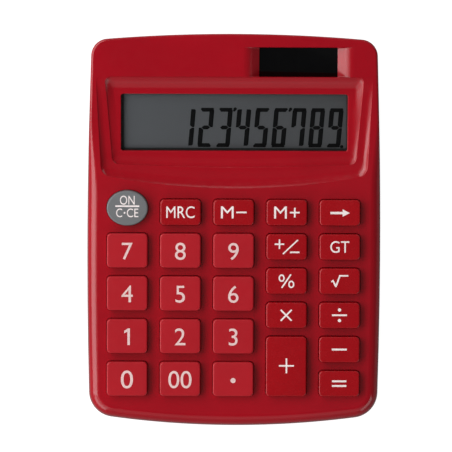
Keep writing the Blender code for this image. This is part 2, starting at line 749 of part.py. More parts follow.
def build_back_shell():
    """Lower casing: a tray with a locating lip, screw posts, foot recesses and a battery bay."""

    def rim(y):
        return parting_height(y) - FIT_GAP

    def constant(value):
        return lambda y: value

    lip_inner = 3.3 * MM
    floor = UNDERSIDE + WALL
    loops = [
        case_loop(constant(lip_inner), constant(floor)),
        case_loop(constant(lip_inner), lambda y: rim(y) + LIP_HEIGHT),
        case_loop(constant(WALL + FIT_GAP), lambda y: rim(y) + LIP_HEIGHT),
        case_loop(constant(WALL + FIT_GAP), rim),
        case_loop(constant(0.4 * MM), rim),
        case_loop(constant(0.6 * MM), constant(UNDERSIDE + 2.6 * MM)),
        case_loop(constant(1.4 * MM), constant(UNDERSIDE + 0.9 * MM)),
        case_loop(constant(3.2 * MM), constant(UNDERSIDE)),
    ]
    shell = add_object("back_shell", skin(loops), "case_red")

    posts = [
        cylinder(x, y, POST_RADIUS, UNDERSIDE + 0.6 * MM, meet - FIT_GAP, 14)
        for x, y, meet in CASE_SCREWS
    ]
    boolean(shell, "add_posts", merged(posts), "UNION")
    x0, x1, y0, y1 = BAY_BOX
    bay = box(
        x0 - BAY_SKIN,
        x1 + BAY_SKIN,
        y0 - BAY_SKIN,
        y1 + BAY_SKIN,
        UNDERSIDE + 1.5 * MM,
        BAY_ROOF + BAY_SKIN,
    )
    boolean(shell, "add_battery_bay", bay, "UNION")

    notches = [
        cylinder(x, y, BOSS_RADIUS + FIT_GAP, meet - FIT_GAP, ABOVE_ALL)
        for x, y, meet in CASE_SCREWS
    ]
    boolean(shell, "cut_lip_notches", merged(notches))
    bores = []
    for x, y, meet in CASE_SCREWS:
        seat = meet - SEAT_BELOW_MEET
        bores.append(cylinder(x, y, CASE_HEAD[0] + FIT_GAP, -1 * MM, seat, 14))
    boolean(shell, "cut_counterbores", merged(bores))
    holes = [
        cylinder(x, y, CASE_SHANK[0] + FIT_GAP, 2 * MM, meet + 2 * MM, 10)
        for x, y, meet in CASE_SCREWS
    ]
    boolean(shell, "cut_shank_holes", merged(holes))
    pads = [
        cylinder(x, y, FOOT_RADIUS + FIT_GAP, -1 * MM, FOOT_THICKNESS + FIT_GAP, 20)
        for x, y in FEET
    ]
    boolean(shell, "cut_foot_recesses", merged(pads))
    boolean(
        shell, "cut_door_recess", box(*DOOR_BOX, -1 * MM, UNDERSIDE + DOOR_RECESS)
    )
    boolean(shell, "cut_battery_bay", box(*BAY_BOX, 0, BAY_ROOF))
    slots = [tongue_slot(x) for x in TONGUE_XS]
    boolean(shell, "cut_tongue_slots", merged(slots))
    slots = [
        box(x0 - 0.4 * MM, x1 + 0.4 * MM, y0 - 0.4 * MM, y1 + 0.4 * MM, 5 * MM, 12 * MM)
        for x0, x1, y0, y1 in contact_tabs()
    ]
    boolean(shell, "cut_contact_slots", merged(slots))


def tongue_slot(x):
    """The slot over the bay's front edge that one of the door's tongues hooks into."""
    half = TONGUE_WIDTH / 2 + 0.4 * MM
    front = DOOR_BOX[2] - 1.5 * MM
    back = BAY_BOX[2] + 0.1 * MM
    return box(x - half, x + half, front, back, UNDERSIDE + 1.1 * MM, UNDERSIDE + 3.4 * MM)


# ---------------------------------------------------------------- display and solar cell


def build_display(panel):
    """Stepped lens, black gasket, liquid crystal cell and the reflector behind it."""
    width, length = WINDOW_SIZE
    plug = rounded_rectangle(
        width - 2 * FIT_GAP, length - 2 * FIT_GAP, WINDOW_CORNER_RADIUS - 0.2 * MM
    )
    flange = rounded_rectangle(width + 2 * LENS_FLANGE, length + 2 * LENS_FLANGE, 1 * MM)
    levels = [
        (flange, LENS_BOTTOM),
        (flange, LENS_FLANGE_TOP),
        (plug, LENS_FLANGE_TOP),
        (plug, LENS_TOP),
    ]
    lens = skin([at_height(outline, z) for outline, z in levels])
    add_object("display_lens", lens, "lens_clear", panel)

    outer = rounded_rectangle(LCD_SIZE[0], LCD_SIZE[1] - 1 * MM, 1 * MM)
    inner = rounded_rectangle(width + 0.6 * MM, length + 0.7 * MM, 0.6 * MM)
    levels = [
        (outer, GASKET_BOTTOM),
        (outer, GASKET_TOP),
        (inner, GASKET_TOP),
        (inner, GASKET_BOTTOM),
    ]
    gasket = skin([at_height(outline, z) for outline, z in levels], closed=True)
    add_object("lcd_gasket", gasket, "gasket_black", panel)

    cell = prism(rounded_rectangle(*LCD_SIZE, 0.3 * MM, 1), LCD_BOTTOM, LCD_TOP)
    add_object("lcd_cell", cell, "lcd_grey", panel)
    sheet = rounded_rectangle(LCD_SIZE[0] - 2 * MM, LCD_SIZE[1] - 5 * MM, 0.3 * MM, 1)
    sheet = moved(prism(sheet, REFLECTOR_BOTTOM, REFLECTOR_TOP), y=1.5 * MM)
    add_object("lcd_reflector", sheet, "reflector_silver", panel)


def build_ribbon(keyboard, panel):
    """Flexible ribbon from the display's lower edge, curving down to the board's underside."""
    half_width = 30 * MM
    thickness = 0.25 * MM
    lcd_under = LCD_BOTTOM - FIT_GAP - thickness
    board_under = BOARD_BOTTOM - FIT_GAP - thickness
    lcd_edge = -LCD_SIZE[1] / 2
    path = [
        panel.matrix_world @ Vector((0, lcd_edge + 2 * MM, lcd_under)),
        panel.matrix_world @ Vector((0, lcd_edge - 0.5 * MM, lcd_under)),
        panel.matrix_world @ Vector((0, lcd_edge - 2.5 * MM, lcd_under - 0.9 * MM)),
        keyboard.matrix_world @ Vector((0, BOARD_REAR + 3 * MM, board_under - 0.7 * MM)),
        keyboard.matrix_world @ Vector((0, BOARD_REAR + 0.5 * MM, board_under - 0.1 * MM)),
        keyboard.matrix_world @ Vector((0, BOARD_REAR - 2.5 * MM, board_under)),
    ]
    low = [Vector((-half_width, p.y, p.z)) for p in path]
    up = [Vector((-half_width, p.y, p.z + thickness)) for p in reversed(path)]
    section = low + up
    far = [Vector((half_width, p.y, p.z)) for p in section]
    add_object("lcd_ribbon", skin([section, far]), "ribbon_amber")


def build_solar_cell(hood):
    cell = prism(rounded_rectangle(*SOLAR_CELL, 0.3 * MM, 1), SOLAR_CELL_BOTTOM, SOLAR_CELL_TOP)
    add_object("solar_cell", moved(cell, y=SOLAR_CELL_Y), "solar_black", hood)


# ---------------------------------------------------------------- board and keypad sheet


def board_plate(low, high):
    """A plate with the board's outline in the keyboard's frame, between two heights."""
    length = BOARD_REAR - BOARD_FRONT
    outline = rounded_rectangle(2 * BOARD_HALF_WIDTH, length, 1 * MM, 1)
    return moved(prism(outline, low, high), y=(BOARD_REAR + BOARD_FRONT) / 2)


def front_notches():
    """Room around the two front screw posts."""
    return merged(
        [cylinder(x, y, POST_RADIUS + 0.5 * MM, 0, ABOVE_ALL) for x, y, _ in CASE_SCREWS[:2]]
    )


def build_keypad_sheet(keyboard):
    """Silicone sheet with one hollow dome under each key."""
    sheet = add_object("keypad_sheet", board_plate(SHEET_BOTTOM, SHEET_TOP), "sheet_grey", keyboard)
    domes, hollows = [], []
    for _, x, y, _, _, _ in key_table():
        dome = [(DOME_BASE_RADIUS, SHEET_TOP - 0.4 * MM), (DOME_TOP_RADIUS, DOME_TOP)]
        hollow = [
            (DOME_BASE_RADIUS - DOME_SKIN, SHEET_BOTTOM - 0.5 * MM),
            (DOME_TOP_RADIUS - DOME_SKIN, DOME_TOP - DOME_SKIN),
        ]
        domes.append(moved(turned(dome, 8), x, y))
        hollows.append(moved(turned(hollow, 8), x, y))
    boolean(sheet, "add_domes", merged(domes), "UNION", keyboard)
    boolean(sheet, "cut_domes", merged(hollows), parent=keyboard)
    holes = [
        cylinder(x, y, BOARD_BOSS_RADIUS + FIT_GAP, -8 * MM, 0, 8)
        for x, y in BOARD_SCREWS
    ]
    boolean(sheet, "cut_boss_holes", merged(holes), parent=keyboard)
    boolean(sheet, "cut_sheet_front", front_notches())


def build_board(keyboard):
    """Circuit board with its chip under epoxy and the capacitor beside it, on the underside."""
    board = add_object("circuit_board", board_plate(BOARD_BOTTOM, BOARD_TOP), "board_brown", keyboard)
    holes = [
        cylinder(x, y, BOARD_SHANK[0] + FIT_GAP, -9 * MM, -5 * MM, 8)
        for x, y in BOARD_SCREWS
    ]
    boolean(board, "cut_board_holes", merged(holes), parent=keyboard)
    boolean(board, "cut_board_front", front_notches())

    under = BOARD_BOTTOM - FIT_GAP
    blob = turned(
        [(3.2 * MM, under - 1.5 * MM), (5.2 * MM, under - 1 * MM), (6.2 * MM, under)], 16
    )
    add_object("chip_epoxy", blob, "epoxy_black", keyboard).location = (0, -3 * MM, 0)
    can_radius = 2 * MM
    can = turned([(can_radius, -3 * MM), (can_radius, 3 * MM)], 14)
    can = add_object("capacitor", can, "can_blue", keyboard)
    can.location = (12 * MM, -1 * MM, under - can_radius)
    can.rotation_euler = (0, math.pi / 2, 0)


# ---------------------------------------------------------------- battery bay


def contact_tabs():
    """Plan boxes of the two contacts' upright tabs, (x0, x1, y0, y1): negative then positive."""
    y = CELL_CENTRE[1]
    right = CELL_CENTRE[0] + CELL_RADIUS + FIT_GAP
    return [
        (-6 * MM, -5.6 * MM, y - 1.5 * MM, y + 1.5 * MM),
        (right, right + 0.4 * MM, y - 1.5 * MM, y + 1.5 * MM),
    ]


def build_battery():
    """Button cell, its two sprung contacts and the door on its hinge line."""
    low, high = CELL_HEIGHTS
    radius = CELL_RADIUS
    profile = [
        (radius - 0.5 * MM, low),
        (radius, low + 0.4 * MM),
        (radius, high - 0.7 * MM),
        (radius - 1 * MM, high - 0.6 * MM),
        (radius - 1.3 * MM, high),
    ]
    cell = add_object("button_cell", turned(profile, 20), "steel")
    cell.location = (*CELL_CENTRE, 0)

    tab_top = BAY_ROOF + BAY_SKIN + 2 * MM
    leaf_low, leaf_high = high + FIT_GAP, high + 2 * FIT_GAP
    (x0, x1, y0, y1), plus_tab = contact_tabs()
    minus = add_object("battery_contact_minus", box(x0, x1, y0, y1, leaf_low, tab_top), "nickel")
    leaf = box(
        x0, CELL_CENTRE[0] + 4 * MM, y0 - 1 * MM, y1 + 1 * MM, leaf_low, leaf_high
    )
    boolean(minus, "add_minus_leaf", leaf, "UNION")
    add_object("battery_contact_plus", box(*plus_tab, low, tab_top), "nickel")
    build_battery_door()


def build_battery_door():
    """A plate that hooks under the bay's front edge and swings down about its outer corner."""
    x0, x1, y0, y1 = DOOR_BOX
    x0, x1, y0, y1 = x0 + FIT_GAP, x1 - FIT_GAP, y0 + FIT_GAP, y1 - FIT_GAP
    length = y1 - y0
    plate = box(x0, x1, 0, length, 0, DOOR_THICKNESS)
    door = add_object("battery_door", plate, "case_red")
    door.location = (0, y0, UNDERSIDE)
    tongues = []
    for x in TONGUE_XS:
        half = TONGUE_WIDTH / 2
        section = [
            (0.2, 0.7),
            (1.1, 0.7),
            (1.1, 2.3),
            (-1.3, 2.3),
            (-1.3, 1.6),
            (0.2, 1.6),
        ]
        near = [Vector((x - half, y * MM, z * MM)) for y, z in section]
        far = [Vector((x + half, y * MM, z * MM)) for y, z in section]
        tongues.append(skin([near, far]))
    boolean(door, "add_tongues", merged(tongues), "UNION").location = door.location
    grip = box(-5 * MM, 5 * MM, length - 3.2 * MM, length - 1.6 * MM, -1 * MM, 0.4 * MM)
    boolean(door, "cut_finger_notch", grip).location = door.location


# ---------------------------------------------------------------- screws, feet and wires


def build_screws(keyboard):
    """Six case screws from below and four board screws, each with its own recessed drive."""
    for number, (x, y, meet) in enumerate(CASE_SCREWS, 1):
        seat = meet - SEAT_BELOW_MEET - FIT_GAP
        screw = screw_object(f"case_screw_{number}", CASE_SHANK, CASE_HEAD, 12)
        screw.location = (x, y, seat)
    for number, (x, y) in enumerate(BOARD_SCREWS, 1):
        screw = screw_object(f"board_screw_{number}", BOARD_SHANK, BOARD_HEAD, 8)
        screw.parent = keyboard
        screw.location = (x, y, BOARD_BOTTOM - FIT_GAP)


def screw_object(name, shank, head, sides):
    """A pan-head screw that points up, with a round drive recess. Its origin is under the head."""
    shank_radius, shank_length = shank
    head_radius, head_height = head
    drive = head_radius * 0.4
    profile = [
        (drive, -head_height * 0.45),
        (drive, -head_height),
        (head_radius * 0.75, -head_height),
        (head_radius, -head_height * 0.55),
        (head_radius, 0),
        (shank_radius, 0),
        (shank_radius, shank_length * 0.85),
        (shank_radius * 0.5, shank_length),
    ]
    return add_object(name, turned(profile, sides), "steel")


def build_feet():
    """Four rubber discs that stand proud of the underside."""
    edge = 0.4 * MM
    profile = [
        (FOOT_RADIUS - edge, 0),
        (FOOT_RADIUS, edge),
        (FOOT_RADIUS, FOOT_THICKNESS),
    ]
    for number, (x, y) in enumerate(FEET, 1):
        foot = add_object(f"rubber_foot_{number}", turned(profile, 20), "foot_rubber")
        foot.location = (x, y, 0)


def add_wire(name, material, points):
    """An insulated wire through points, as a curve with a round bevel."""
    curve = bpy.data.curves.new(name, "CURVE")
    curve.dimensions = "3D"
    curve.bevel_depth = 0.45 * MM
    curve.bevel_resolution = 1
    curve.use_fill_caps = True
    curve.resolution_u = 2
    spline = curve.splines.new("BEZIER")
    spline.bezier_points.add(len(points) - 1)
    for knot, point in zip(spline.bezier_points, points):
        knot.co = point
        knot.handle_left_type = knot.handle_right_type = "AUTO"
    wire = bpy.data.objects.new(name, curve)
    curve.materials.append(bpy.data.materials[material])
    bpy.context.scene.collection.objects.link(wire)


def build_wires(keyboard, hood):
    """Two wires from the solar cell and two from the battery, all to the board's underside."""

    def at_board(x, y):
        return keyboard.matrix_world @ Vector((x * MM, y * MM, BOARD_BOTTOM - 1 * MM))

    def at_solar(x):
        return hood.matrix_world @ Vector((x * MM, SOLAR_CELL_Y, SOLAR_CELL_BOTTOM - 0.9 * MM))

    def point(x, y, z):
        return Vector((x * MM, y * MM, z * MM))

    tab_top = BAY_ROOF / MM + BAY_SKIN / MM + 2
    cell_y = CELL_CENTRE[1] / MM
    add_wire(
        "solar_wire_red",
        "wire_red",
        [at_solar(11), point(33, 52, 12), point(28, 36, 5.5), point(26, 16, 5.5), at_board(25, 5)],
    )
    add_wire(
        "solar_wire_black",
        "wire_black",
        [at_solar(-7), point(18, 54, 12), point(20, 36, 5), point(21, 16, 5.5), at_board(21, 5)],
    )
    add_wire(
        "battery_wire_red",
        "wire_red",
        [point(10.8, cell_y, tab_top), point(15, 40, 8), point(15, 18, 5), at_board(16.5, 5)],
    )
    add_wire(
        "battery_wire_black",
        "wire_black",
        [point(-6.9, cell_y, tab_top), point(-15, 40, 8), point(-15, 18, 5), at_board(-14, 5)],
    )


def main():
    for obj in list(bpy.data.objects):
        bpy.data.objects.remove(obj)
    make_materials()
    keyboard = tilted_frame("keyboard_frame", 0, 0, top_height)
    panel = tilted_frame("panel_frame", 0, WINDOW_CENTRE_Y, panel_height)
    hood = tilted_frame("hood_frame", SOLAR_CENTRE[0], SOLAR_CENTRE[1], top_height)
    bpy.context.view_layer.update()
    build_front_shell(keyboard, panel, hood)
    build_back_shell()
    for key in key_table():
        build_key(keyboard, *key)
    build_display(panel)
    build_ribbon(keyboard, panel)
    build_solar_cell(hood)
    build_keypad_sheet(keyboard)
    build_board(keyboard)
    build_battery()
    build_screws(keyboard)
    build_feet()
    build_wires(keyboard, hood)


main()
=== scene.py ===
"""The calculator's visible pieces, their materials, the light and the camera, around the CAD frame.

Everything is in metres in the CAD's frame: +X to the user's right, +Y towards the display end.
"""

import json
import math

import bmesh
import bpy
from mathutils import Matrix, Vector

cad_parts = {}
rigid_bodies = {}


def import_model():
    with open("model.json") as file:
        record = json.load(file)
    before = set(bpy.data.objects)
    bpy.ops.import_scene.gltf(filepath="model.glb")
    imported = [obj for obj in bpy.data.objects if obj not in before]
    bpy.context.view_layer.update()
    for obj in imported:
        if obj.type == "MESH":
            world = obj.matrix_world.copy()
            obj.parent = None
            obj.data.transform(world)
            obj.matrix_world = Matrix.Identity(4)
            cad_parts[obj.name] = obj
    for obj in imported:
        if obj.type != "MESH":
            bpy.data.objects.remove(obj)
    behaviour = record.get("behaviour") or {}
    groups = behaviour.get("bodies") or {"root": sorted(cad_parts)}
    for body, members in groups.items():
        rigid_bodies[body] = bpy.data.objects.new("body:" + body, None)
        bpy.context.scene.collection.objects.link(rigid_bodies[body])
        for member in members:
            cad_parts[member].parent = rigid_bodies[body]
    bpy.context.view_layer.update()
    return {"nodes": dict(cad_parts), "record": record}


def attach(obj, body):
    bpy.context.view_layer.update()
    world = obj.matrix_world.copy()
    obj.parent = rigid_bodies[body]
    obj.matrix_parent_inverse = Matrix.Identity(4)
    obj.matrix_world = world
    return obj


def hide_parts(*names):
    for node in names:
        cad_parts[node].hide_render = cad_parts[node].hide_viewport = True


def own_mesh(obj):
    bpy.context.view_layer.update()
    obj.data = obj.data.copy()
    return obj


MM = 0.001


def mm(*lengths):
    return tuple(length * MM for length in lengths)


# Case outline and side profile, as in the CAD.
CASE_WIDTH = 102 * MM
CASE_LENGTH = 136 * MM
WIDEST_Y = -5 * MM
SIDE_BOW_RADIUS = 1800 * MM
FRONT_BOW_RADIUS = 320 * MM
REAR_BOW_RADIUS = 540 * MM
FRONT_CORNER_RADIUS = 9 * MM
REAR_CORNER_RADIUS = 6.3 * MM
KEYBOARD_HEIGHT = 16.2 * MM
KEYBOARD_TILT = math.radians(4.5)
HOOD_TILT = math.radians(15)
BEND_START = 12 * MM
BEND_END = 40 * MM
UNDERSIDE = 1 * MM
PARTING_HEIGHT = 8.5 * MM
PARTING_TILT = math.radians(2.5)
WALL = 2 * MM
WALL_DRAFT = 0.35 * MM
LIP_HEIGHT = 1.5 * MM
KEYBOARD_EDGE_RADIUS = 3.6 * MM
HOOD_EDGE_RADIUS = 1 * MM
FIT_GAP = 0.3 * MM

# Keys.
MIDDLE_COLUMN_X = -0.1 * MM
COLUMN_PITCH = 18.42 * MM
DIGIT_PITCH = 14.9 * MM
FUNCTION_PITCH = 11.9 * MM
TOP_ROW_Y = 6.25 * MM
FIRST_DIGIT_Y = -7.1 * MM
KEY_WIDTH = 14.3 * MM
DIGIT_KEY_LENGTH = 12.1 * MM
FUNCTION_KEY_LENGTH = 9.1 * MM
CLEAR_KEY_SIZE = mm(14.4, 12.3)
CLEAR_KEY_Y = 7.65 * MM
KEY_CORNER_RADIUS = 1.5 * MM
KEY_HEIGHT = 2.6 * MM
KEY_OPENING_GAP = 0.12 * MM
KEY_FLANGE_REACH = 0.95 * MM
KEY_WALL = 1.2 * MM
KEY_TAPER = 0.1 * MM
KEY_EDGE_RADIUS = 0.5 * MM
KEY_CROWN = 0.07 * MM
STEM_RADIUS = 2 * MM
FLANGE_TOP = -2.3 * MM
FLANGE_BOTTOM = -3.1 * MM
STEM_END = -3.5 * MM
SHEET_TOP = -5.3 * MM
SHEET_BOTTOM = -6.1 * MM
SHEET_HALF_WIDTH = 45 * MM
SHEET_YS = mm(-59, 12)
DOME_TOP = -3.8 * MM
DOME_BASE_RADIUS = 3.9 * MM
DOME_TOP_RADIUS = 2.4 * MM
DOME_SKIN = 0.6 * MM

# Display recess, inner step and window.
RAMP_YS = mm(14.6, 53)
RAMP_DEPTHS = mm(2.3, 0.1)
RAMP_HALF_WIDTHS = mm(46.1, 47.7)
RAMP_BOW_RADIUS = 240 * MM
RAMP_CORNER_RADIUS = 3.8 * MM
RAMP_WALL = 2.3 * MM
RAMP_SAG = 0.8 * MM
RAMP_FADE = 6 * MM
COVE_WIDTH = 6.5 * MM
STEP_YS = mm(21.9, 52.7)
STEP_HALF_WIDTHS = mm(42.2, 44.4)
STEP_BOW_RADIUS = 900 * MM
STEP_CORNER_RADIUS = 2.6 * MM
STEP_WALL = 2.8 * MM
STEP_APRON = 5 * MM
STEP_SLOPE_WIDTH = 3.8 * MM
PANEL_DEPTHS = mm(1.7, 1.75)
PANEL_THICKNESS = 0.9 * MM
WINDOW_CENTRE_Y = 37.2 * MM
WINDOW_SIZE = mm(78.5, 20.3)
WINDOW_CORNER_RADIUS = 0.8 * MM
LENS_FLANGE = 2 * MM
# Painted shadow: how far the black frame under the lens reaches in from the window's left, right,
# front and rear edges.
PAINTED_SHADOW_MARGINS = mm(1, 0.4, 0.7, 0.2)
LCD_SIZE = mm(84, 27)
LENS_TOP = -0.1 * MM
LENS_FLANGE_TOP = -1.05 * MM
LENS_BOTTOM = -1.4 * MM
LCD_TOP = -1.9 * MM
LCD_BOTTOM = -3.7 * MM

# Solar cell.
SOLAR_CENTRE = mm(22.1, 58)
SOLAR_WINDOW = mm(27.1, 10.45)
SOLAR_SLOPE = 3.75 * MM
SOLAR_BLOCK_DEPTH = 3.1 * MM
SOLAR_CELL = mm(29.6, 12.2)
SOLAR_CELL_TOP = -3.3 * MM
SOLAR_CELL_Y = SOLAR_CELL_TOP * math.tan(HOOD_TILT)

# Fasteners and feet. Each case screw is (x, y, height at which boss and post meet).
CASE_SCREWS = [
    (side * x * MM, y * MM, meet * MM)
    for x, y, meet in ((9.25, -61.9, 5.5), (44.5, 15.0, 7.0), (43.0, 60.0, 8.5))
    for side in (-1, 1)
]
BOSS_RADIUS = 2.5 * MM
POST_RADIUS = 3.4 * MM
BOARD_SCREWS = [
    (MIDDLE_COLUMN_X + columns * COLUMN_PITCH, y)
    for columns, y in (
        (-1.5, FIRST_DIGIT_Y - 0.5 * DIGIT_PITCH),
        (-1.5, FIRST_DIGIT_Y - 2.5 * DIGIT_PITCH),
        (1.5, TOP_ROW_Y - 1.5 * FUNCTION_PITCH),
        (1.5, TOP_ROW_Y - 3.5 * FUNCTION_PITCH),
    )
]
BOARD_BOSS_RADIUS = 1.7 * MM
CASE_SHANK = mm(1.1, 5.5)
CASE_HEAD = mm(2.2, 1.6)
SEAT_BELOW_MEET = 2.6 * MM
DRIVE_MOUTH = mm(2.5, 0.56)
DRIVE_END = mm(1.3, 0.4)
DRIVE_DEPTH = 0.85 * MM
SCREW_TURN = math.radians(37)
FEET = [(side * 37 * MM, y * MM) for y in (-52.5, 52.5) for side in (-1, 1)]
FOOT_RADIUS = 4.5 * MM
FOOT_THICKNESS = 1.4 * MM

# Battery bay in the back shell, opening downwards under a hinged door.
DOOR_BOX = mm(-13, 13, 36, 56)
DOOR_THICKNESS = 1 * MM
DOOR_RECESS = 1.3 * MM
BAY_BOX = mm(-11, 11, 38.5, 54)
BAY_ROOF = 6.9 * MM
BAY_SKIN = 1.2 * MM
CELL_CENTRE = mm(3.5, 46.25)
CELL_RADIUS = 5.8 * MM
CELL_HEIGHTS = mm(2.7, 5.8)
# The can's crimped rim and the cap inside it, in millimetres in from the side and below the top.
CELL_CRIMP = (
    (0, 0.95), (0.08, 0.75), (0.3, 0.64), (0.95, 0.62), (1.05, 0.55), (1.2, 0.15), (1.35, 0),
)
TONGUE_XS = mm(-8, 8)
TONGUE_WIDTH = 3 * MM
# Section of a tongue in millimetres: distance from the hinge edge, height over the underside.
TONGUE_SECTION = ((0.2, 0.7), (1.1, 0.7), (1.1, 2.3), (-1.3, 2.3), (-1.3, 1.6), (0.2, 1.6))
NOTCH_SIZE = mm(10, 1.6)
NOTCH_DEPTH = 0.4 * MM
NOTCH_FROM_REAR = 2.4 * MM
RIB_ROWS = 4
RIB_SIZE = mm(8, 0.5)
RIB_SHORTER_BY = 1.6 * MM
RIB_FROM_REAR = 4.4 * MM
RIB_PITCH = 1.2 * MM
RIB_RISE = 0.16 * MM

ABOVE_ALL = 45 * MM
CUTTER_OVERLAP = 0.02 * MM
WELD_DISTANCE = 0.001 * MM
PIECE_SHARP_ANGLE = math.radians(34)
CAD_SHARP_ANGLE = math.radians(32)


# ---- heights and outlines


def top_height(y):
    low, high = math.tan(KEYBOARD_TILT), math.tan(HOOD_TILT)
    bend = min(max(y - BEND_START, 0), BEND_END - BEND_START)
    past = max(y - BEND_END, 0)
    bent = (high - low) * bend**2 / (2 * (BEND_END - BEND_START))
    return KEYBOARD_HEIGHT + low * y + bent + (high - low) * past


def parting_height(y):
    return PARTING_HEIGHT + math.tan(PARTING_TILT) * y


def edge_radius(y):
    share = min(max((y - BEND_START) / (BEND_END - BEND_START), 0), 1)
    share = share * share * (3 - 2 * share)
    return KEYBOARD_EDGE_RADIUS + (HOOD_EDGE_RADIUS - KEYBOARD_EDGE_RADIUS) * share


def ramp_share(y):
    front, rear = RAMP_YS
    return (y - front) / (rear - front)


def ramp_line(y):
    low, high = [top_height(end) - depth for end, depth in zip(RAMP_YS, RAMP_DEPTHS)]
    return low + (high - low) * ramp_share(y)


def ramp_height(y):
    """The display recess's sloping floor, which hangs in a shallow curve."""
    share = min(max(ramp_share(y), 0), 1)
    return ramp_line(y) - 4 * RAMP_SAG * share * (1 - share)


def panel_height(y):
    front, rear = STEP_YS[0] + STEP_APRON, STEP_YS[1] - STEP_SLOPE_WIDTH
    low, high = PANEL_DEPTHS
    return ramp_line(y) - low - (high - low) * (y - front) / (rear - front)


def tilted(x, y, height):
    """The matrix of a frame that lies on a surface sloping along Y."""
    step = 1 * MM
    tilt = math.atan2(height(y + step) - height(y), step)
    return Matrix.Translation((x, y, height(y))) @ Matrix.Rotation(tilt, 4, "X")


KEYBOARD = tilted(0, 0, top_height)
PANEL = tilted(0, WINDOW_CENTRE_Y, panel_height)
HOOD = tilted(*SOLAR_CENTRE, top_height)


def roll(degrees):
    """For each angle round an edge of radius 1: how far in, and how far below the top, it is."""
    return [(1 - math.cos(a), 1 - math.sin(a)) for a in map(math.radians, degrees)]


def circles_meet(centre_a, radius_a, centre_b, radius_b, towards):
    """The point where two circles meet, the one nearer to a given point."""
    gap = centre_b - centre_a
    along = (radius_a**2 - radius_b**2 + gap.length_squared) / (2 * gap.length)
    across = math.sqrt(radius_a**2 - along**2)
    direction = gap.normalized()
    normal = Vector((-direction.y, direction.x))
    points = [centre_a + direction * along + normal * across * sign for sign in (-1, 1)]
    return min(points, key=lambda point: (point - towards).length)


def unit(angle):
    return Vector((math.cos(angle), math.sin(angle)))


def arc(centre, radius, start, end, steps):
    angles = [start + (end - start) * i / steps for i in range(steps)]
    return [(centre + unit(angle) * radius, unit(angle)) for angle in angles]


def bearing(centre, point):
    return math.atan2(point.y - centre.y, point.x - centre.x)


def case_outline():
    """Right half of the case's outline from front to rear, as (point, outward normal) pairs."""
    side = Vector((CASE_WIDTH / 2 - SIDE_BOW_RADIUS, WIDEST_Y))

    def end(sign, bow_radius, radius):
        """The centres of an end's bow and corner, and the bearings at which its arcs meet."""
        bow = Vector((0, sign * (CASE_LENGTH / 2 - bow_radius)))
        towards = Vector((CASE_WIDTH / 2, sign * CASE_LENGTH / 2))
        corner = circles_meet(side, SIDE_BOW_RADIUS - radius, bow, bow_radius - radius, towards)
        return bow, corner, bearing(bow, corner), bearing(side, corner)

    front, front_corner, front_turn, side_start = end(-1, FRONT_BOW_RADIUS, FRONT_CORNER_RADIUS)
    rear, rear_corner, rear_turn, side_end = end(1, REAR_BOW_RADIUS, REAR_CORNER_RADIUS)
    points = arc(front, FRONT_BOW_RADIUS, -math.pi / 2, front_turn, 12)
    points += arc(front_corner, FRONT_CORNER_RADIUS, front_turn, side_start, 12)
    bend = [BEND_START + (BEND_END - BEND_START) * i / 20 for i in range(21)]
    side_ys = [*(y * MM for y in (-40, -25, -10, 2)), *bend, 50 * MM]
    for angle in [side_start] + [math.asin((y - WIDEST_Y) / SIDE_BOW_RADIUS) for y in side_ys]:
        points.append((side + unit(angle) * SIDE_BOW_RADIUS, unit(angle)))
    points += arc(rear_corner, REAR_CORNER_RADIUS, side_end, rear_turn, 12)
    points += arc(rear, REAR_BOW_RADIUS, rear_turn, math.pi / 2, 12)
    points.append((Vector((0, CASE_LENGTH / 2)), Vector((0, 1))))
    return points


def mirrored(points):
    left = [Vector((-p.x, p.y, *p[2:])) for p in reversed(points[1:-1])]
    return list(points) + left


def case_loop(inset, height):
    """The case's outline moved inwards and lifted, by lengths or by functions of y."""
    inward = inset if callable(inset) else lambda y: inset
    half = [point - normal * inward(point.y) for point, normal in case_outline()]
    half = [Vector((0 if abs(p.x) < 1e-9 else p.x, p.y)) for p in half]
    return mirrored(at_height(half, height))


def recess_outline(half_widths, ys, bow_radius, corner_radius, outsets, top_corner=2 * MM):
    """Closed outline of a display recess, with a bowed front edge and sides that splay to the rear.

    The outsets move its sides, its front edge and its rear edge outwards.
    """
    side, front, rear = outsets
    low_x, high_x = [x + side for x in half_widths]
    low_y, high_y = ys[0] - front, ys[1] + rear
    bow = Vector((0, low_y + bow_radius))
    corner_x = low_x - corner_radius
    lift = math.sqrt((bow_radius - corner_radius) ** 2 - corner_x**2)
    corner = Vector((corner_x, bow.y - lift))
    turn = bearing(bow, corner)
    top = Vector((high_x - top_corner, high_y - top_corner))
    start, end = Vector((low_x, corner.y)), Vector((high_x, top.y))
    points = arc(bow, bow_radius, -math.pi / 2, turn, 14) + arc(corner, corner_radius, turn, 0, 12)
    points += [(start.lerp(end, i / 16), None) for i in range(16)]
    points += arc(top, top_corner, 0, math.pi / 2, 6)
    return mirrored([p for p, _ in points] + [Vector((top.x, high_y)), Vector((0, high_y))])


def rounded_rectangle(width, length, radius, steps=8):
    points = []
    for quarter, (sign_x, sign_y) in enumerate(((1, 1), (-1, 1), (-1, -1), (1, -1))):
        centre = Vector((sign_x * (width / 2 - radius), sign_y * (length / 2 - radius)))
        for i in range(steps + 1):
            angle = (quarter + i / steps) * math.pi / 2
            points.append(centre + unit(angle) * radius)
    return points


def ellipse(width, length, count):
    points = []
    for i in range(count):
        angle = (i + 0.5) * 2 * math.pi / count
        points.append(Vector((math.cos(angle) * width / 2, math.sin(angle) * length / 2)))
    return points


def circle(radius, count):
    return ellipse(2 * radius, 2 * radius, count)


def shifted(outline, x, y):
    return [p + Vector((x, y)) for p in outline]


def mean_point(outline):
    return sum(outline, Vector((0, 0))) / len(outline)


def at_height(outline, z):
    height = z if callable(z) else lambda y: z
    return [Vector((p.x, p.y, height(p.y))) for p in outline]


# ---- meshes


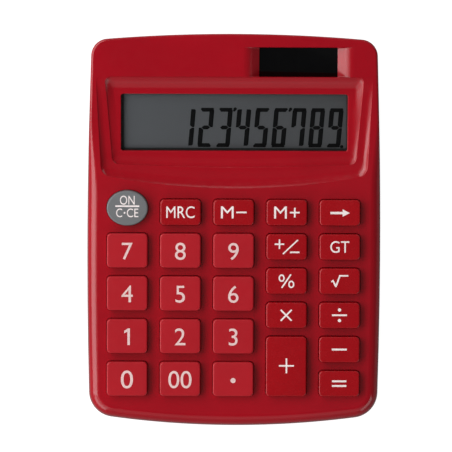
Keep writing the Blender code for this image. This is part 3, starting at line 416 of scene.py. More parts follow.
def skin(loops, closed=False, strips=False):
    """A bmesh through loops of equal length, capped at both ends unless the loops form a ring."""
    mesh = bmesh.new()
    rows = [[mesh.verts.new(p) for p in loop] for loop in loops]
    count = len(loops[0])
    for low, high in zip(rows, rows[1:] + rows[:1] if closed else rows[1:]):
        for i in range(count):
            j = (i + 1) % count
            mesh.faces.new((low[i], low[j], high[j], high[i]))
    if not closed:
        for row in (rows[0], rows[-1]):
            if strips:
                add_strips(mesh, row)
            else:
                mesh.faces.new(row)
    bmesh.ops.recalc_face_normals(mesh, faces=mesh.faces)
    return mesh


def add_strips(mesh, row):
    """Caps a mirrored loop with strips from side to side, and one face across its upper end."""
    half = len(row) // 2
    mesh.faces.new((row[0], row[1], row[-1]))
    for i in range(1, half - 2):
        mesh.faces.new((row[i], row[i + 1], row[-i - 1], row[-i]))
    mesh.faces.new(row[half - 2 : half + 3])


def stack(*levels, **options):
    """A skin through outlines, each given with its height."""
    return skin([at_height(outline, z) for outline, z in levels], **options)


def link(name, data):
    obj = bpy.data.objects.new(name, data)
    bpy.context.scene.collection.objects.link(obj)
    return obj


def mesh_object(name, mesh):
    """Turns a bmesh into an object in the scene, and frees it."""
    data = bpy.data.meshes.new(name)
    mesh.to_mesh(data)
    mesh.free()
    return link(name, data)


def evaluated(obj):
    """An object's shape after its modifiers, as a bmesh."""
    bpy.context.view_layer.update()
    finished = obj.evaluated_get(bpy.context.evaluated_depsgraph_get())
    data = bpy.data.meshes.new_from_object(finished)
    mesh = bmesh.new()
    mesh.from_mesh(data)
    bpy.data.meshes.remove(data)
    return mesh


def merged(meshes):
    whole = bmesh.new()
    for mesh in meshes:
        data = bpy.data.meshes.new("part")
        mesh.to_mesh(data)
        whole.from_mesh(data)
        bpy.data.meshes.remove(data)
        mesh.free()
    return whole


def placed(mesh, matrix):
    bmesh.ops.transform(mesh, matrix=matrix, verts=mesh.verts)
    return mesh


def moved(mesh, x, y):
    return placed(mesh, Matrix.Translation((x, y, 0)))


def prism(outline, low, high, **options):
    return stack((outline, low), (outline, high), **options)


def box(x0, x1, y0, y1, z0, z1):
    return prism([Vector(p) for p in ((x0, y0), (x1, y0), (x1, y1), (x0, y1))], z0, z1)


def turned(profile, sides):
    return stack(*((circle(radius, sides), z) for radius, z in profile))


def cylinder(x, y, radius, low, high, sides=32):
    return moved(turned([(radius, low), (radius, high)], sides), x, y)


def shade(obj, sharp, weighted=True):
    obj.data.shade_smooth()
    obj.data.set_sharp_from_angle(angle=sharp)
    if weighted:
        modifier = obj.modifiers.new("weighted_normals", "WEIGHTED_NORMAL")
        modifier.keep_sharp = True
        modifier.weight = 80


def add_piece(name, mesh, slot, node=None, body="case", weighted=True):
    """Adds a bmesh as a piece that rides on a CAD body and, if a node is given, stands for it."""
    obj = mesh_object(name, mesh)
    obj.data.materials.append(MATERIALS[slot])
    shade(obj, PIECE_SHARP_ANGLE, weighted)
    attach(obj, body)
    if node:
        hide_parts(node)
    return obj


def joined(mesh):
    """Marks a mesh as one that carve() adds instead of cutting it away."""
    return ("UNION", mesh)


def carve(base, *steps):
    """A bmesh after Boolean steps in their order, with the helpers removed afterwards."""
    target = mesh_object("carved", base)
    helpers = [target]
    for step in steps:
        operation, mesh = step if isinstance(step, tuple) else ("DIFFERENCE", step)
        modifier = target.modifiers.new("step", "BOOLEAN")
        modifier.operation = operation
        modifier.solver = "EXACT"
        modifier.object = mesh_object("tool", mesh)
        helpers.append(modifier.object)
    mesh = evaluated(target)
    for obj in helpers:
        data = obj.data
        bpy.data.objects.remove(obj)
        bpy.data.meshes.remove(data)
    bmesh.ops.remove_doubles(mesh, verts=mesh.verts, dist=WELD_DISTANCE)
    bmesh.ops.dissolve_degenerate(mesh, edges=mesh.edges, dist=WELD_DISTANCE)
    return mesh


# ---- materials


MATERIALS = {}


def linear(red, green, blue):
    def channel(value):
        value /= 255
        return value / 12.92 if value <= 0.04045 else ((value + 0.055) / 1.055) ** 2.4

    return (channel(red), channel(green), channel(blue), 1.0)


def toned(colour, factor, lift=0.0):
    return tuple(min(c * factor + lift, 1) for c in colour[:3]) + (1.0,)


class Graph:
    """A material's node tree, with short ways to add and join nodes."""

    def __init__(self, name):
        self.material = bpy.data.materials.new(name)
        self.material.use_nodes = True
        self.tree = self.material.node_tree
        self.shader = self.tree.nodes["Principled BSDF"]
        self.coordinates = self.add("ShaderNodeTexCoord").outputs["Object"]
        MATERIALS[name] = self.material

    def add(self, kind, inputs=None, **settings):
        node = self.tree.nodes.new(kind)
        for key, value in settings.items():
            setattr(node, key, value)
        self.feed(node, inputs or {})
        return node

    def feed(self, node, inputs):
        """Sets each input to a value, or joins it to another node's socket."""
        for key, value in inputs.items():
            if hasattr(value, "links"):
                self.tree.links.new(value, node.inputs[key])
            else:
                node.inputs[key].default_value = value

    def set(self, **values):
        self.feed(self.shader, {key.replace("_", " "): value for key, value in values.items()})

    def noise(self, scale, detail=3.0, roughness=0.55, stretch=None):
        source = self.coordinates
        if stretch:
            mapping = self.add("ShaderNodeMapping", {"Vector": source, "Scale": stretch})
            source = mapping.outputs["Vector"]
        inputs = {"Vector": source, "Scale": scale, "Detail": detail, "Roughness": roughness}
        return self.add("ShaderNodeTexNoise", inputs).outputs["Fac"]

    def span(self, source, low, high, start=0.3, end=0.7):
        inputs = {"Value": source, "From Min": start, "From Max": end, "To Min": low, "To Max": high}
        return self.add("ShaderNodeMapRange", inputs).outputs["Result"]

    def mix(self, factor, first, second, blend="MIX"):
        inputs = {0: factor, 6: first, 7: second}
        return self.add("ShaderNodeMix", inputs, data_type="RGBA", blend_type=blend).outputs[2]

    def bump(self, source, distance, strength=1.0, below=None):
        inputs = {"Height": source, "Distance": distance, "Strength": strength}
        if below:
            inputs["Normal"] = below
        return self.add("ShaderNodeBump", inputs).outputs["Normal"]

    def along_x(self):
        return self.add("ShaderNodeSeparateXYZ", {"Vector": self.coordinates}).outputs["X"]


def moulded_plastic(name, colour, roughness, grain=1.0, coat=0.0, shine=0.5):
    """Injection moulded plastic: faint colour drift, fine spark-eroded grain, uneven gloss."""
    graph = Graph(name)
    drift = graph.span(graph.noise(55, 2), 0, 1)
    graph.set(Base_Color=graph.mix(drift, toned(colour, 0.955), toned(colour, 1.045)))
    gloss = graph.noise(420, 4)
    graph.set(Roughness=graph.span(gloss, roughness - 0.035, roughness + 0.045))
    flow = graph.bump(graph.noise(38, 1), 0.02 * MM, 0.5)
    fine = graph.bump(graph.noise(5200, 3, 0.6), 0.0045 * MM * grain, 1.0, flow)
    graph.set(Normal=fine, Coat_Weight=coat, Coat_Roughness=0.2, Specular_IOR_Level=shine)


def printed_ink(name, colour, shine):
    graph = Graph(name)
    worn = graph.span(graph.noise(900, 3), 0, 1, 0.35, 0.65)
    graph.set(Base_Color=graph.mix(worn, toned(colour, 0.93), toned(colour, 1.05)))
    graph.set(Normal=graph.bump(graph.noise(3000, 2), 0.003 * MM))
    graph.set(Roughness=0.5, Specular_IOR_Level=shine)


def metal(name, colour, roughness, stretch=None):
    graph = Graph(name)
    brush = graph.noise(2600, 4, 0.6, stretch)
    graph.set(Base_Color=graph.mix(graph.span(brush, 0, 1), toned(colour, 0.86), colour))
    graph.set(Roughness=graph.span(brush, roughness - 0.05, roughness + 0.08), Metallic=1.0)
    graph.set(Normal=graph.bump(brush, 0.004 * MM, 0.6))


def soft_rubber(name, colour, roughness=0.78):
    graph = Graph(name)
    dust = graph.span(graph.noise(160, 4), 0, 1, 0.45, 0.75)
    graph.set(Base_Color=graph.mix(dust, colour, toned(colour, 1.25, 0.006)))
    graph.set(Roughness=graph.span(graph.noise(700, 3), roughness - 0.06, roughness + 0.08))
    graph.set(Normal=graph.bump(graph.noise(3400, 3), 0.012 * MM, 0.8))


def clear_lens():
    """A thin clear window: light and sight pass straight through under a soft mirror sheen."""
    graph = Graph("lens_clear")
    graph.tree.nodes.remove(graph.shader)
    through = graph.add("ShaderNodeBsdfTransparent", {"Color": (0.93, 0.94, 0.94, 1)})
    mirror = graph.add("ShaderNodeBsdfGlossy", {"Roughness": 0.05})
    fresnel = graph.add("ShaderNodeFresnel", {"IOR": 1.45}).outputs["Fac"]
    inside = graph.add("ShaderNodeNewGeometry").outputs["Backfacing"]
    inputs = {0: fresnel, 1: inside}
    front = graph.add("ShaderNodeMath", inputs, operation="SUBTRACT", use_clamp=True)
    inputs = {"Fac": front.outputs[0], 1: through.outputs["BSDF"], 2: mirror.outputs["BSDF"]}
    mix = graph.add("ShaderNodeMixShader", inputs)
    graph.feed(graph.tree.nodes["Material Output"], {"Surface": mix.outputs["Shader"]})


def polariser():
    """The display's matte grey polariser film, with painted shade: paler and slightly cooler at its
    left end, darker towards its right, where the light from the left falls off.
    """
    graph = Graph("lcd_grey")
    # Painted shade: the film's colour darkens from left to right, standing in for the light falling
    # off away from the left-hand lamps.
    side = graph.span(graph.along_x(), 0, 1, -0.04, 0.04)
    base = graph.mix(side, linear(97, 98, 102), linear(82, 82, 84))
    speck = graph.span(graph.noise(2400, 3), 0, 1)
    graph.set(Base_Color=graph.mix(0.06, base, speck, "MULTIPLY"), Roughness=0.42)
    graph.set(Normal=graph.bump(graph.noise(4200, 2), 0.004 * MM, 0.6))


def solar_glass():
    """Amorphous solar cell: near black glass with barely visible lines between its cells."""
    graph = Graph("solar_black")
    strip = 3.4 * MM
    inputs = {0: graph.along_x(), 1: 2 * strip - SOLAR_CENTRE[0]}
    shift = graph.add("ShaderNodeMath", inputs, operation="ADD")
    wave = graph.add("ShaderNodeMath", {0: shift.outputs[0], 1: strip}, operation="PINGPONG")
    line = graph.span(wave.outputs[0], 1, 0, 0.06 * MM, 0.12 * MM)
    base = graph.mix(graph.span(graph.noise(260, 2), 0, 1), linear(3, 3, 4), linear(5, 5, 6))
    graph.set(Base_Color=graph.mix(line, base, linear(9, 9, 9)), Roughness=0.1)
    graph.set(Normal=graph.bump(graph.noise(300, 2), 0.002 * MM, 0.3), Specular_IOR_Level=0.35)


def make_materials():
    moulded_plastic("case_red", linear(166, 5, 25), 0.17, shine=0.62)
    moulded_plastic("digit_key_red", linear(178, 26, 37), 0.34, 1.4, shine=0.35)
    moulded_plastic("function_key_red", linear(162, 6, 18), 0.26, 0.4, shine=0.4)
    moulded_plastic("clear_key_grey", linear(112, 114, 116), 0.46, 1.4)
    moulded_plastic("ribbon_amber", linear(150, 105, 50), 0.4)
    moulded_plastic("board_brown", linear(150, 108, 56), 0.55, 2.0)
    moulded_plastic("epoxy_black", linear(16, 16, 17), 0.25, 0.5, 0.4)
    moulded_plastic("can_blue", linear(28, 46, 104), 0.35)
    moulded_plastic("wire_red", linear(180, 22, 22), 0.42)
    moulded_plastic("wire_black", linear(18, 18, 19), 0.42)
    printed_ink("legend_white", linear(250, 238, 236), 0.2)
    printed_ink("legend_grey", linear(238, 206, 203), 0.2)
    printed_ink("lcd_ink", linear(5, 5, 6), 0.1)
    soft_rubber("gasket_black", linear(18, 18, 18))
    soft_rubber("sheet_grey", linear(190, 190, 184), 0.65)
    soft_rubber("foot_rubber", linear(38, 38, 39))
    metal("reflector_silver", linear(195, 198, 200), 0.4)
    metal("steel", linear(190, 190, 192), 0.26, (1, 1, 0.1))
    metal("nickel", linear(205, 202, 192), 0.22, (0.1, 1, 1))
    clear_lens()
    polariser()
    solar_glass()


# ---- keys


def key_table():
    """Every key as (name, x, y, width, length, material), in the keyboard's frame."""
    digit = (KEY_WIDTH, DIGIT_KEY_LENGTH, "digit_key_red")
    function = (KEY_WIDTH, FUNCTION_KEY_LENGTH, "function_key_red")
    double = (KEY_WIDTH, FUNCTION_PITCH + FUNCTION_KEY_LENGTH, "function_key_red")
    top_row = ("memory_recall", "memory_minus", "memory_plus", "backspace")
    right_column = ("grand_total", "root", "divide", "minus", "equals")
    keys = [("on_clear", -2, CLEAR_KEY_Y, *CLEAR_KEY_SIZE, "clear_key_grey")]
    for row, names in enumerate(("7 8 9", "4 5 6", "1 2 3", "0 00 point")):
        y = FIRST_DIGIT_Y - row * DIGIT_PITCH
        keys += [(name, column, y, *digit) for column, name in enumerate(names.split(), -2)]
    places = [(name, column, 0) for column, name in enumerate(top_row, -1)]
    places += [(name, 1, row) for row, name in enumerate(("sign", "percent", "multiply"), 1)]
    places += [(name, 2, row) for row, name in enumerate(right_column, 1)]
    keys += [(name, x, TOP_ROW_Y - row * FUNCTION_PITCH, *function) for name, x, row in places]
    keys.append(("plus", 1, TOP_ROW_Y - 4.5 * FUNCTION_PITCH, *double))
    return [("key_" + name, MIDDLE_COLUMN_X + x * COLUMN_PITCH, *rest) for name, x, *rest in keys]


def key_outline(name, width, length, outset):
    wide, long = width + 2 * outset, length + 2 * outset
    if name == "key_on_clear":
        return ellipse(wide, long, 72)
    return rounded_rectangle(wide, long, max(KEY_CORNER_RADIUS + outset, 0.3 * MM))


def crown(x, y, width, length):
    """How far a key's slightly domed face lies below its highest point."""
    return -KEY_CROWN * ((2 * x / width) ** 2 + (2 * y / length) ** 2) / 2


def build_key(name, x, y, width, length, slot):
    def outline(outset):
        return key_outline(name, width, length, outset)

    def crowned(ring, level):
        return [Vector((p.x, p.y, level + crown(p.x, p.y, width, length))) for p in ring]

    stem = circle(STEM_RADIUS, 72 if name == "key_on_clear" else 36)
    ceiling = KEY_HEIGHT - KEY_WALL
    levels = [
        (stem, STEM_END),
        (stem, ceiling),
        (outline(-KEY_WALL - 0.3 * MM), ceiling),
        (outline(-KEY_WALL), FLANGE_BOTTOM),
        (outline(KEY_FLANGE_REACH), FLANGE_BOTTOM),
        (outline(KEY_FLANGE_REACH), FLANGE_TOP),
        (outline(0), FLANGE_TOP),
    ]
    loops = [at_height(ring, z) for ring, z in levels]
    for come_in, drop in roll(range(0, 91, 15)):
        rim = outline(-KEY_TAPER - KEY_EDGE_RADIUS * come_in)
        loops.append(crowned(rim, KEY_HEIGHT - KEY_EDGE_RADIUS * drop))
    loops += [crowned([p * share for p in rim], KEY_HEIGHT) for share in (0.8, 0.55, 0.3, 0.1)]
    cap = placed(moved(skin(loops), x, y), KEYBOARD)
    add_piece(name + "_cap", cap, slot, name, name)


def build_keypad_sheet():
    """Silicone sheet with a hole under each dome, around the board's bosses and the front posts."""
    front, rear = SHEET_YS
    outline = rounded_rectangle(2 * SHEET_HALF_WIDTH, rear - front, 1 * MM)
    plate = moved(prism(outline, SHEET_BOTTOM, SHEET_TOP), 0, (front + rear) / 2)
    below, above = SHEET_BOTTOM - 1 * MM, SHEET_TOP + 1 * MM
    hollow = DOME_BASE_RADIUS - DOME_SKIN
    holes = [cylinder(x, y, hollow, below, above) for _, x, y, *_ in key_table()]
    holes += [cylinder(x, y, BOARD_BOSS_RADIUS + FIT_GAP, below, above) for x, y in BOARD_SCREWS]
    posts = [cylinder(x, y, POST_RADIUS + 0.5 * MM, 0, ABOVE_ALL) for x, y, _ in CASE_SCREWS[:2]]
    sheet = carve(placed(plate, KEYBOARD), placed(merged(holes), KEYBOARD), merged(posts))
    add_piece("keypad_silicone", sheet, "sheet_grey", "keypad_sheet")


def build_dome(name, x, y):
    """A key's rubber dome, in its resting shape."""
    profile = [
        (DOME_BASE_RADIUS - DOME_SKIN, SHEET_TOP),
        (DOME_BASE_RADIUS, SHEET_TOP),
        (DOME_TOP_RADIUS + 0.2 * MM, DOME_TOP - 0.2 * MM),
        (DOME_TOP_RADIUS, DOME_TOP),
        (0.3 * MM, DOME_TOP),
        (0.3 * MM, DOME_TOP - DOME_SKIN),
        (DOME_TOP_RADIUS - DOME_SKIN, DOME_TOP - DOME_SKIN),
    ]
    mesh = stack(*((circle(radius, 32), z) for radius, z in profile), closed=True)
    mesh = placed(moved(mesh, x, y), KEYBOARD)
    dome = add_piece(name + "_dome", mesh, "sheet_grey", "keypad_sheet")
    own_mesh(dome)


# ---- legends


def bar(start, end, width):
    """A straight stroke between two points, as a closed outline."""
    a, b = Vector(start), Vector(end)
    side = (b - a).normalized().orthogonal() * width / 2
    return [a - side, b - side, b + side, a + side]


def level_bar(left, right, y, width):
    return bar((left, y), (right, y), width)


def disc(x, y, radius):
    return shifted(circle(radius, 28), x, y)


def plus_shape(x, y, width, stroke, turn=0.0):
    far, near = width / 2, stroke / 2
    corners = []
    for quarter in range(4):
        rotation = Matrix.Rotation(quarter * math.pi / 2, 2)
        for corner in ((far, -near), (far, near), (near, near)):
            corners.append(Matrix.Rotation(turn, 2) @ (Vector((x, y)) + rotation @ Vector(corner)))
    return corners


# Height of a capital letter in the built-in font at size 1.
CAPITAL_HEIGHT = 0.682


def glyphs(text, height, x=0.0, y=0.0, width=None, spacing=1.0):
    """Text in the built-in font as a flat bmesh centred on a point, its capitals height tall."""
    curve = bpy.data.curves.new("glyphs", "FONT")
    curve.body = text
    curve.size = 1
    curve.space_character = spacing
    curve.resolution_u = 8
    obj = link("glyphs", curve)
    mesh = evaluated(obj)
    bpy.data.objects.remove(obj)
    bpy.data.curves.remove(curve)
    scale = height / CAPITAL_HEIGHT
    left = min(v.co.x for v in mesh.verts)
    right = max(v.co.x for v in mesh.verts)
    centre = Matrix.Translation((-(left + right) / 2, -CAPITAL_HEIGHT / 2, 0))
    stretch = width / (right - left) if width else scale
    size = Matrix.Diagonal((stretch, scale, 1, 1))
    placed(mesh, Matrix.Translation((x, y, 0)) @ size @ centre)
    bmesh.ops.remove_doubles(mesh, verts=mesh.verts, dist=1e-4)
    return mesh


def flat(*outlines):
    mesh = bmesh.new()
    for outline in outlines:
        mesh.faces.new([mesh.verts.new((p[0], p[1], 0)) for p in outline])
    return mesh


def oval_ring(x, y):
    """One of the percent sign's two upright oval rings."""
    mesh = bmesh.new()
    rings = (ellipse(2.15, 2.6, 32), ellipse(1.15, 1.6, 32))
    outer, inner = [[mesh.verts.new((x + p.x, y + p.y, 0)) for p in ring] for ring in rings]
    for i in range(32):
        j = (i + 1) % 32
        mesh.faces.new((outer[i], outer[j], inner[j], inner[i]))
    return mesh


# Outlines of the figure 1, the square root sign and the backspace arrow, in millimetres.
ONE = (
    (0.15, -3.05), (1.0, -3.05), (1.0, 2.75), (0.3, 2.75),
    (-1.0, 1.85), (-1.0, 1.0), (0.15, 1.65),
)
ROOT = (
    (-3.0, 0.15), (-2.2, 0.65), (-1.3, -1.05), (-0.15, 2.25), (3.0, 2.25), (3.0, 1.72),
    (0.25, 1.72), (-1.05, -1.95), (-1.55, -1.95), (-2.42, -0.1), (-2.8, -0.35),
)
ARROW = (
    (-3.35, -0.42), (0.9, -0.42), (0.9, -1.3), (3.4, 0.0),
    (0.9, 1.3), (0.9, 0.42), (-3.35, 0.42),
)


# Heights of a legend's lower and upper side over its key's face, in millimetres.
LEGEND_LEVELS = (-0.12, 0.018)
PLAIN_DIGIT_HEIGHT = 5.8
DIGIT_DROP = -0.15

# What draws each key's legend about the key's middle: a maker of flat bmeshes and its arguments,
# in millimetres. The digits that aren't listed are plain text.
LETTER_M = (glyphs, "M", 4.2, -2.2, 0.1, 4.4)
LEGENDS = {
    "key_on_clear": [
        (glyphs, "ON", 3.05, 0, 2.8, 5.1),
        (flat, level_bar(-4.15, 4.15, 0.72, 0.55)),
        (glyphs, "C", 2.95, -2.8, -1.6, 2.1),
        (flat, disc(-0.95, -1.6, 0.33)),
        (glyphs, "CE", 2.95, 1.85, -1.6, 4.0),
    ],
    "key_0": [(glyphs, "0", 6.1, 0, DIGIT_DROP, 4.2)],
    "key_00": [(glyphs, "00", 5.9, 0, DIGIT_DROP, None, 0.98)],
    "key_1": [(flat, ONE)],
    "key_point": [(flat, disc(0, -0.4, 0.88))],
    "key_memory_recall": [(glyphs, "MRC", 4, 0, 0.1, 9.8)],
    "key_memory_minus": [LETTER_M, (flat, level_bar(0.9, 4.5, 0.1, 0.55))],
    "key_memory_plus": [LETTER_M, (flat, plus_shape(2.75, 0.1, 3.4, 0.55))],
    "key_backspace": [(flat, ARROW)],
    "key_sign": [
        (flat, plus_shape(-2.5, 1, 3.3, 0.52)),
        (flat, bar((-1.3, -2.4), (3.9, 2.5), 0.48)),
        (flat, level_bar(1.15, 4.45, -1.8, 0.56)),
    ],
    "key_percent": [
        (oval_ring, -1.7, 1.1),
        (oval_ring, 1.65, -1.05),
        (flat, bar((-1.65, -2.3), (1.5, 2.4), 0.52)),
    ],
    "key_multiply": [(flat, plus_shape(0, 0.1, 5.4, 0.56, math.pi / 4))],
    "key_grand_total": [(glyphs, "GT", 3.95, 0, 0.1, 6.6)],
    "key_root": [(flat, ROOT)],
    "key_divide": [
        (flat, level_bar(-2.58, 2.58, 0.15, 0.6)),
        (flat, disc(0, 2.0, 0.58), disc(0, -1.7, 0.58)),
    ],
    "key_minus": [(flat, level_bar(-2.6, 2.6, 0.1, 0.66))],
    "key_equals": [(flat, *(level_bar(-2.5, 2.5, y, 0.66) for y in (-0.7, 0.92)))],
    "key_plus": [(flat, plus_shape(0.1, 0.3, 5.2, 0.55))],
}


def raised(flats, low, high):
    """Flat bmeshes as thin solids between two heights."""
    mesh = merged(flats)
    extruded = bmesh.ops.extrude_face_region(mesh, geom=list(mesh.faces))
    top = [v for v in extruded["geom"] if isinstance(v, bmesh.types.BMVert)]
    bmesh.ops.translate(mesh, vec=(0, 0, high), verts=top)
    for vert in set(mesh.verts) - set(top):
        vert.co.z = low
    bmesh.ops.recalc_face_normals(mesh, faces=mesh.faces)
    return mesh


def build_legend(name, x, y, width, length, slot):
    plain_digit = [(glyphs, name[-1], PLAIN_DIGIT_HEIGHT, 0, DIGIT_DROP)]
    parts = LEGENDS.get(name, plain_digit)
    mesh = raised([make(*arguments) for make, *arguments in parts], *LEGEND_LEVELS)
    placed(mesh, Matrix.Diagonal((MM, MM, MM, 1)))
    for vert in mesh.verts:
        vert.co.z += KEY_HEIGHT + crown(vert.co.x, vert.co.y, width, length)
    ink = "legend_grey" if slot == "digit_key_red" else "legend_white"
    legend = placed(moved(mesh, x, y), KEYBOARD)
    add_piece(name + "_legend", legend, ink, body=name, weighted=False)


# ---- front shell


def ramp_outline(outset):
    radii = (RAMP_BOW_RADIUS, RAMP_CORNER_RADIUS)
    return recess_outline(RAMP_HALF_WIDTHS, RAMP_YS, *radii, [outset] * 3)


def step_outline(outset):
    radii = (STEP_BOW_RADIUS, STEP_CORNER_RADIUS)
    return recess_outline(STEP_HALF_WIDTHS, STEP_YS, *radii, [outset] * 3)


def basin(floor, floor_height, lip, lip_height, fillet, hollow):
    """A cutter for a recess: a wall that curves up out of its floor and rolls over at the lip."""
    centre = mean_point(lip)
    rounds = [min(fillet, 0.4 * (lip_height(p.y) - floor_height(p.y))) for p in lip]
    loops = [at_height(floor, floor_height)]
    for step in range(1, 12):
        share = step / 12
        ring = []
        for low, high, radius in zip(floor, lip, rounds):
            p = low.lerp(high, share)
            bottom = floor_height(p.y)
            top = lip_height(min(p.y, high.y)) - radius
            ring.append(Vector((p.x, p.y, bottom + (top - bottom) * share**hollow)))
        loops.append(ring)
    for degrees in range(0, 81, 20):
        ((go_out, drop),) = roll([degrees])
        ring = []
        for p, radius in zip(lip, rounds):
            q = p + (p - centre).normalized() * radius * go_out
            z = lip_height(q.y) - radius * drop + CUTTER_OVERLAP * degrees / 80
            ring.append(Vector((q.x, q.y, z)))
        loops.append(ring)
    loops.append([Vector((p.x, p.y, ABOVE_ALL)) for p in loops[-1]])
    return skin(loops, strips=True)


def recess_cutter():
    radii = (RAMP_BOW_RADIUS - COVE_WIDTH, RAMP_CORNER_RADIUS - RAMP_WALL)
    outsets = (-RAMP_WALL, -COVE_WIDTH, -RAMP_FADE)
    floor = recess_outline(RAMP_HALF_WIDTHS, RAMP_YS, *radii, outsets)
    return basin(floor, ramp_height, ramp_outline(0), top_height, fillet=0.35 * MM, hollow=2.3)


def step_cutter():
    corner = 0.8 * MM
    outsets = (-STEP_WALL, -STEP_APRON, -STEP_SLOPE_WIDTH)
    floor = recess_outline(STEP_HALF_WIDTHS, STEP_YS, STEP_BOW_RADIUS, corner, outsets, corner)
    return basin(floor, panel_height, step_outline(0), ramp_height, fillet=0.4 * MM, hollow=1.4)


def opening_cutter(outline_at, fillet):
    """A straight cutter whose top edge rolls outwards over a small radius."""
    levels = [(outline_at(0), -4 * MM), (outline_at(0), -fillet)]
    for go_out, drop in roll((25, 50, 75)):
        levels.append((outline_at(fillet * go_out), CUTTER_OVERLAP - fillet * drop))
    return stack(*levels, (outline_at(fillet), 4 * MM))


def solar_cutter():
    """The solar cell's window: upright long walls, and ends that slope up and blend outwards."""
    narrow, length = SOLAR_WINDOW
    depth = SOLAR_BLOCK_DEPTH - 0.4 * MM
    slope = math.atan2(depth, SOLAR_SLOPE)
    blend = 6 * MM
    levels = [(0, 0, -SOLAR_BLOCK_DEPTH - 1 * MM), (0, 0, -depth)]
    for step in range(9):
        angle = slope * (1 - step / 8 * 0.92)
        reach = SOLAR_SLOPE + blend * (math.tan(slope / 2) - math.sin(angle))
        z = -blend * (1 - math.cos(angle))
        edge = max(0, 0.25 * MM + z)
        levels.append((reach, edge * edge / (0.5 * MM), z))
    levels.append((levels[-1][0], levels[-1][1] + 0.05 * MM, 3 * MM))
    loops = []
    for reach, rim, z in levels:
        drift = Vector((0, max(z, -depth - 1 * MM) * math.tan(HOOD_TILT)))
        outline = rounded_rectangle(narrow + 2 * reach, length + 2 * rim, 0.3 * MM, 4)
        loops.append(at_height([p + drift for p in outline], z))
    return skin(loops)


def build_front_shell():
    bevel = 0.25 * MM
    loops = [
        case_loop(bevel, parting_height),
        case_loop(bevel * 0.3, lambda y: parting_height(y) + bevel * 0.3),
        case_loop(bevel * 0.08, lambda y: parting_height(y) + bevel),
        case_loop(WALL_DRAFT, lambda y: top_height(y) - edge_radius(y)),
    ]
    for come_in, drop in roll(range(10, 91, 10)):
        loops.append(
            case_loop(
                lambda y: WALL_DRAFT + edge_radius(y) * come_in,
                lambda y: top_height(y) - edge_radius(y) * drop,
            )
        )
    inner = [
        case_loop(WALL, lambda y: parting_height(y) - WALL),
        case_loop(WALL, lambda y: parting_height(y) + LIP_HEIGHT),
        case_loop(WALL + WALL_DRAFT, lambda y: top_height(y) - WALL - 1 * MM),
        case_loop(WALL + WALL_DRAFT + 1 * MM, lambda y: top_height(y) - WALL),
    ]
    under_ramp, under_panel = ramp_outline(1.2 * MM), step_outline(1 * MM)
    block = (SOLAR_WINDOW[0] + 2 * SOLAR_SLOPE + 4 * MM, SOLAR_WINDOW[1] + 3.6 * MM)
    solar_block = prism(rounded_rectangle(*block, 1 * MM, 4), -SOLAR_BLOCK_DEPTH, ABOVE_ALL)
    cavity = carve(
        skin(inner, strips=True),
        prism(under_ramp, lambda y: ramp_height(y) - PANEL_THICKNESS, ABOVE_ALL, strips=True),
        prism(under_panel, lambda y: panel_height(y) - PANEL_THICKNESS, ABOVE_ALL),
        placed(solar_block, HOOD),
    )
    wide, long = WINDOW_SIZE

    def window_outline(out):
        return rounded_rectangle(wide + 2 * out, long + 2 * out, WINDOW_CORNER_RADIUS + out)

    reach = 2 * LENS_FLANGE + 2 * FIT_GAP
    seat = rounded_rectangle(wide + reach, long + reach, 1.2 * MM, 6)
    seat = prism(seat, -6 * MM, LENS_FLANGE_TOP + 0.1 * MM)
    pocket = rounded_rectangle(*(side + 2 * FIT_GAP for side in SOLAR_CELL), 0.4 * MM, 4)
    pocket = moved(prism(pocket, -5 * MM, FIT_GAP + SOLAR_CELL_TOP), 0, SOLAR_CELL_Y)
    openings = []
    for name, x, y, width, length, _ in key_table():
        opening = opening_cutter(
            lambda out: key_outline(name, width, length, KEY_OPENING_GAP + out), 0.12 * MM
        )
        openings.append(moved(opening, x, y))
    shell = carve(
        skin(loops, strips=True),
        cavity,
        recess_cutter(),
        step_cutter(),
        placed(opening_cutter(window_outline, 0.2 * MM), PANEL),
        placed(seat, PANEL),
        placed(solar_cutter(), HOOD),
        placed(pocket, HOOD),
        placed(merged(openings), KEYBOARD),
    )
    add_piece("front_case", shell, "case_red", "front_shell")


# ---- underside


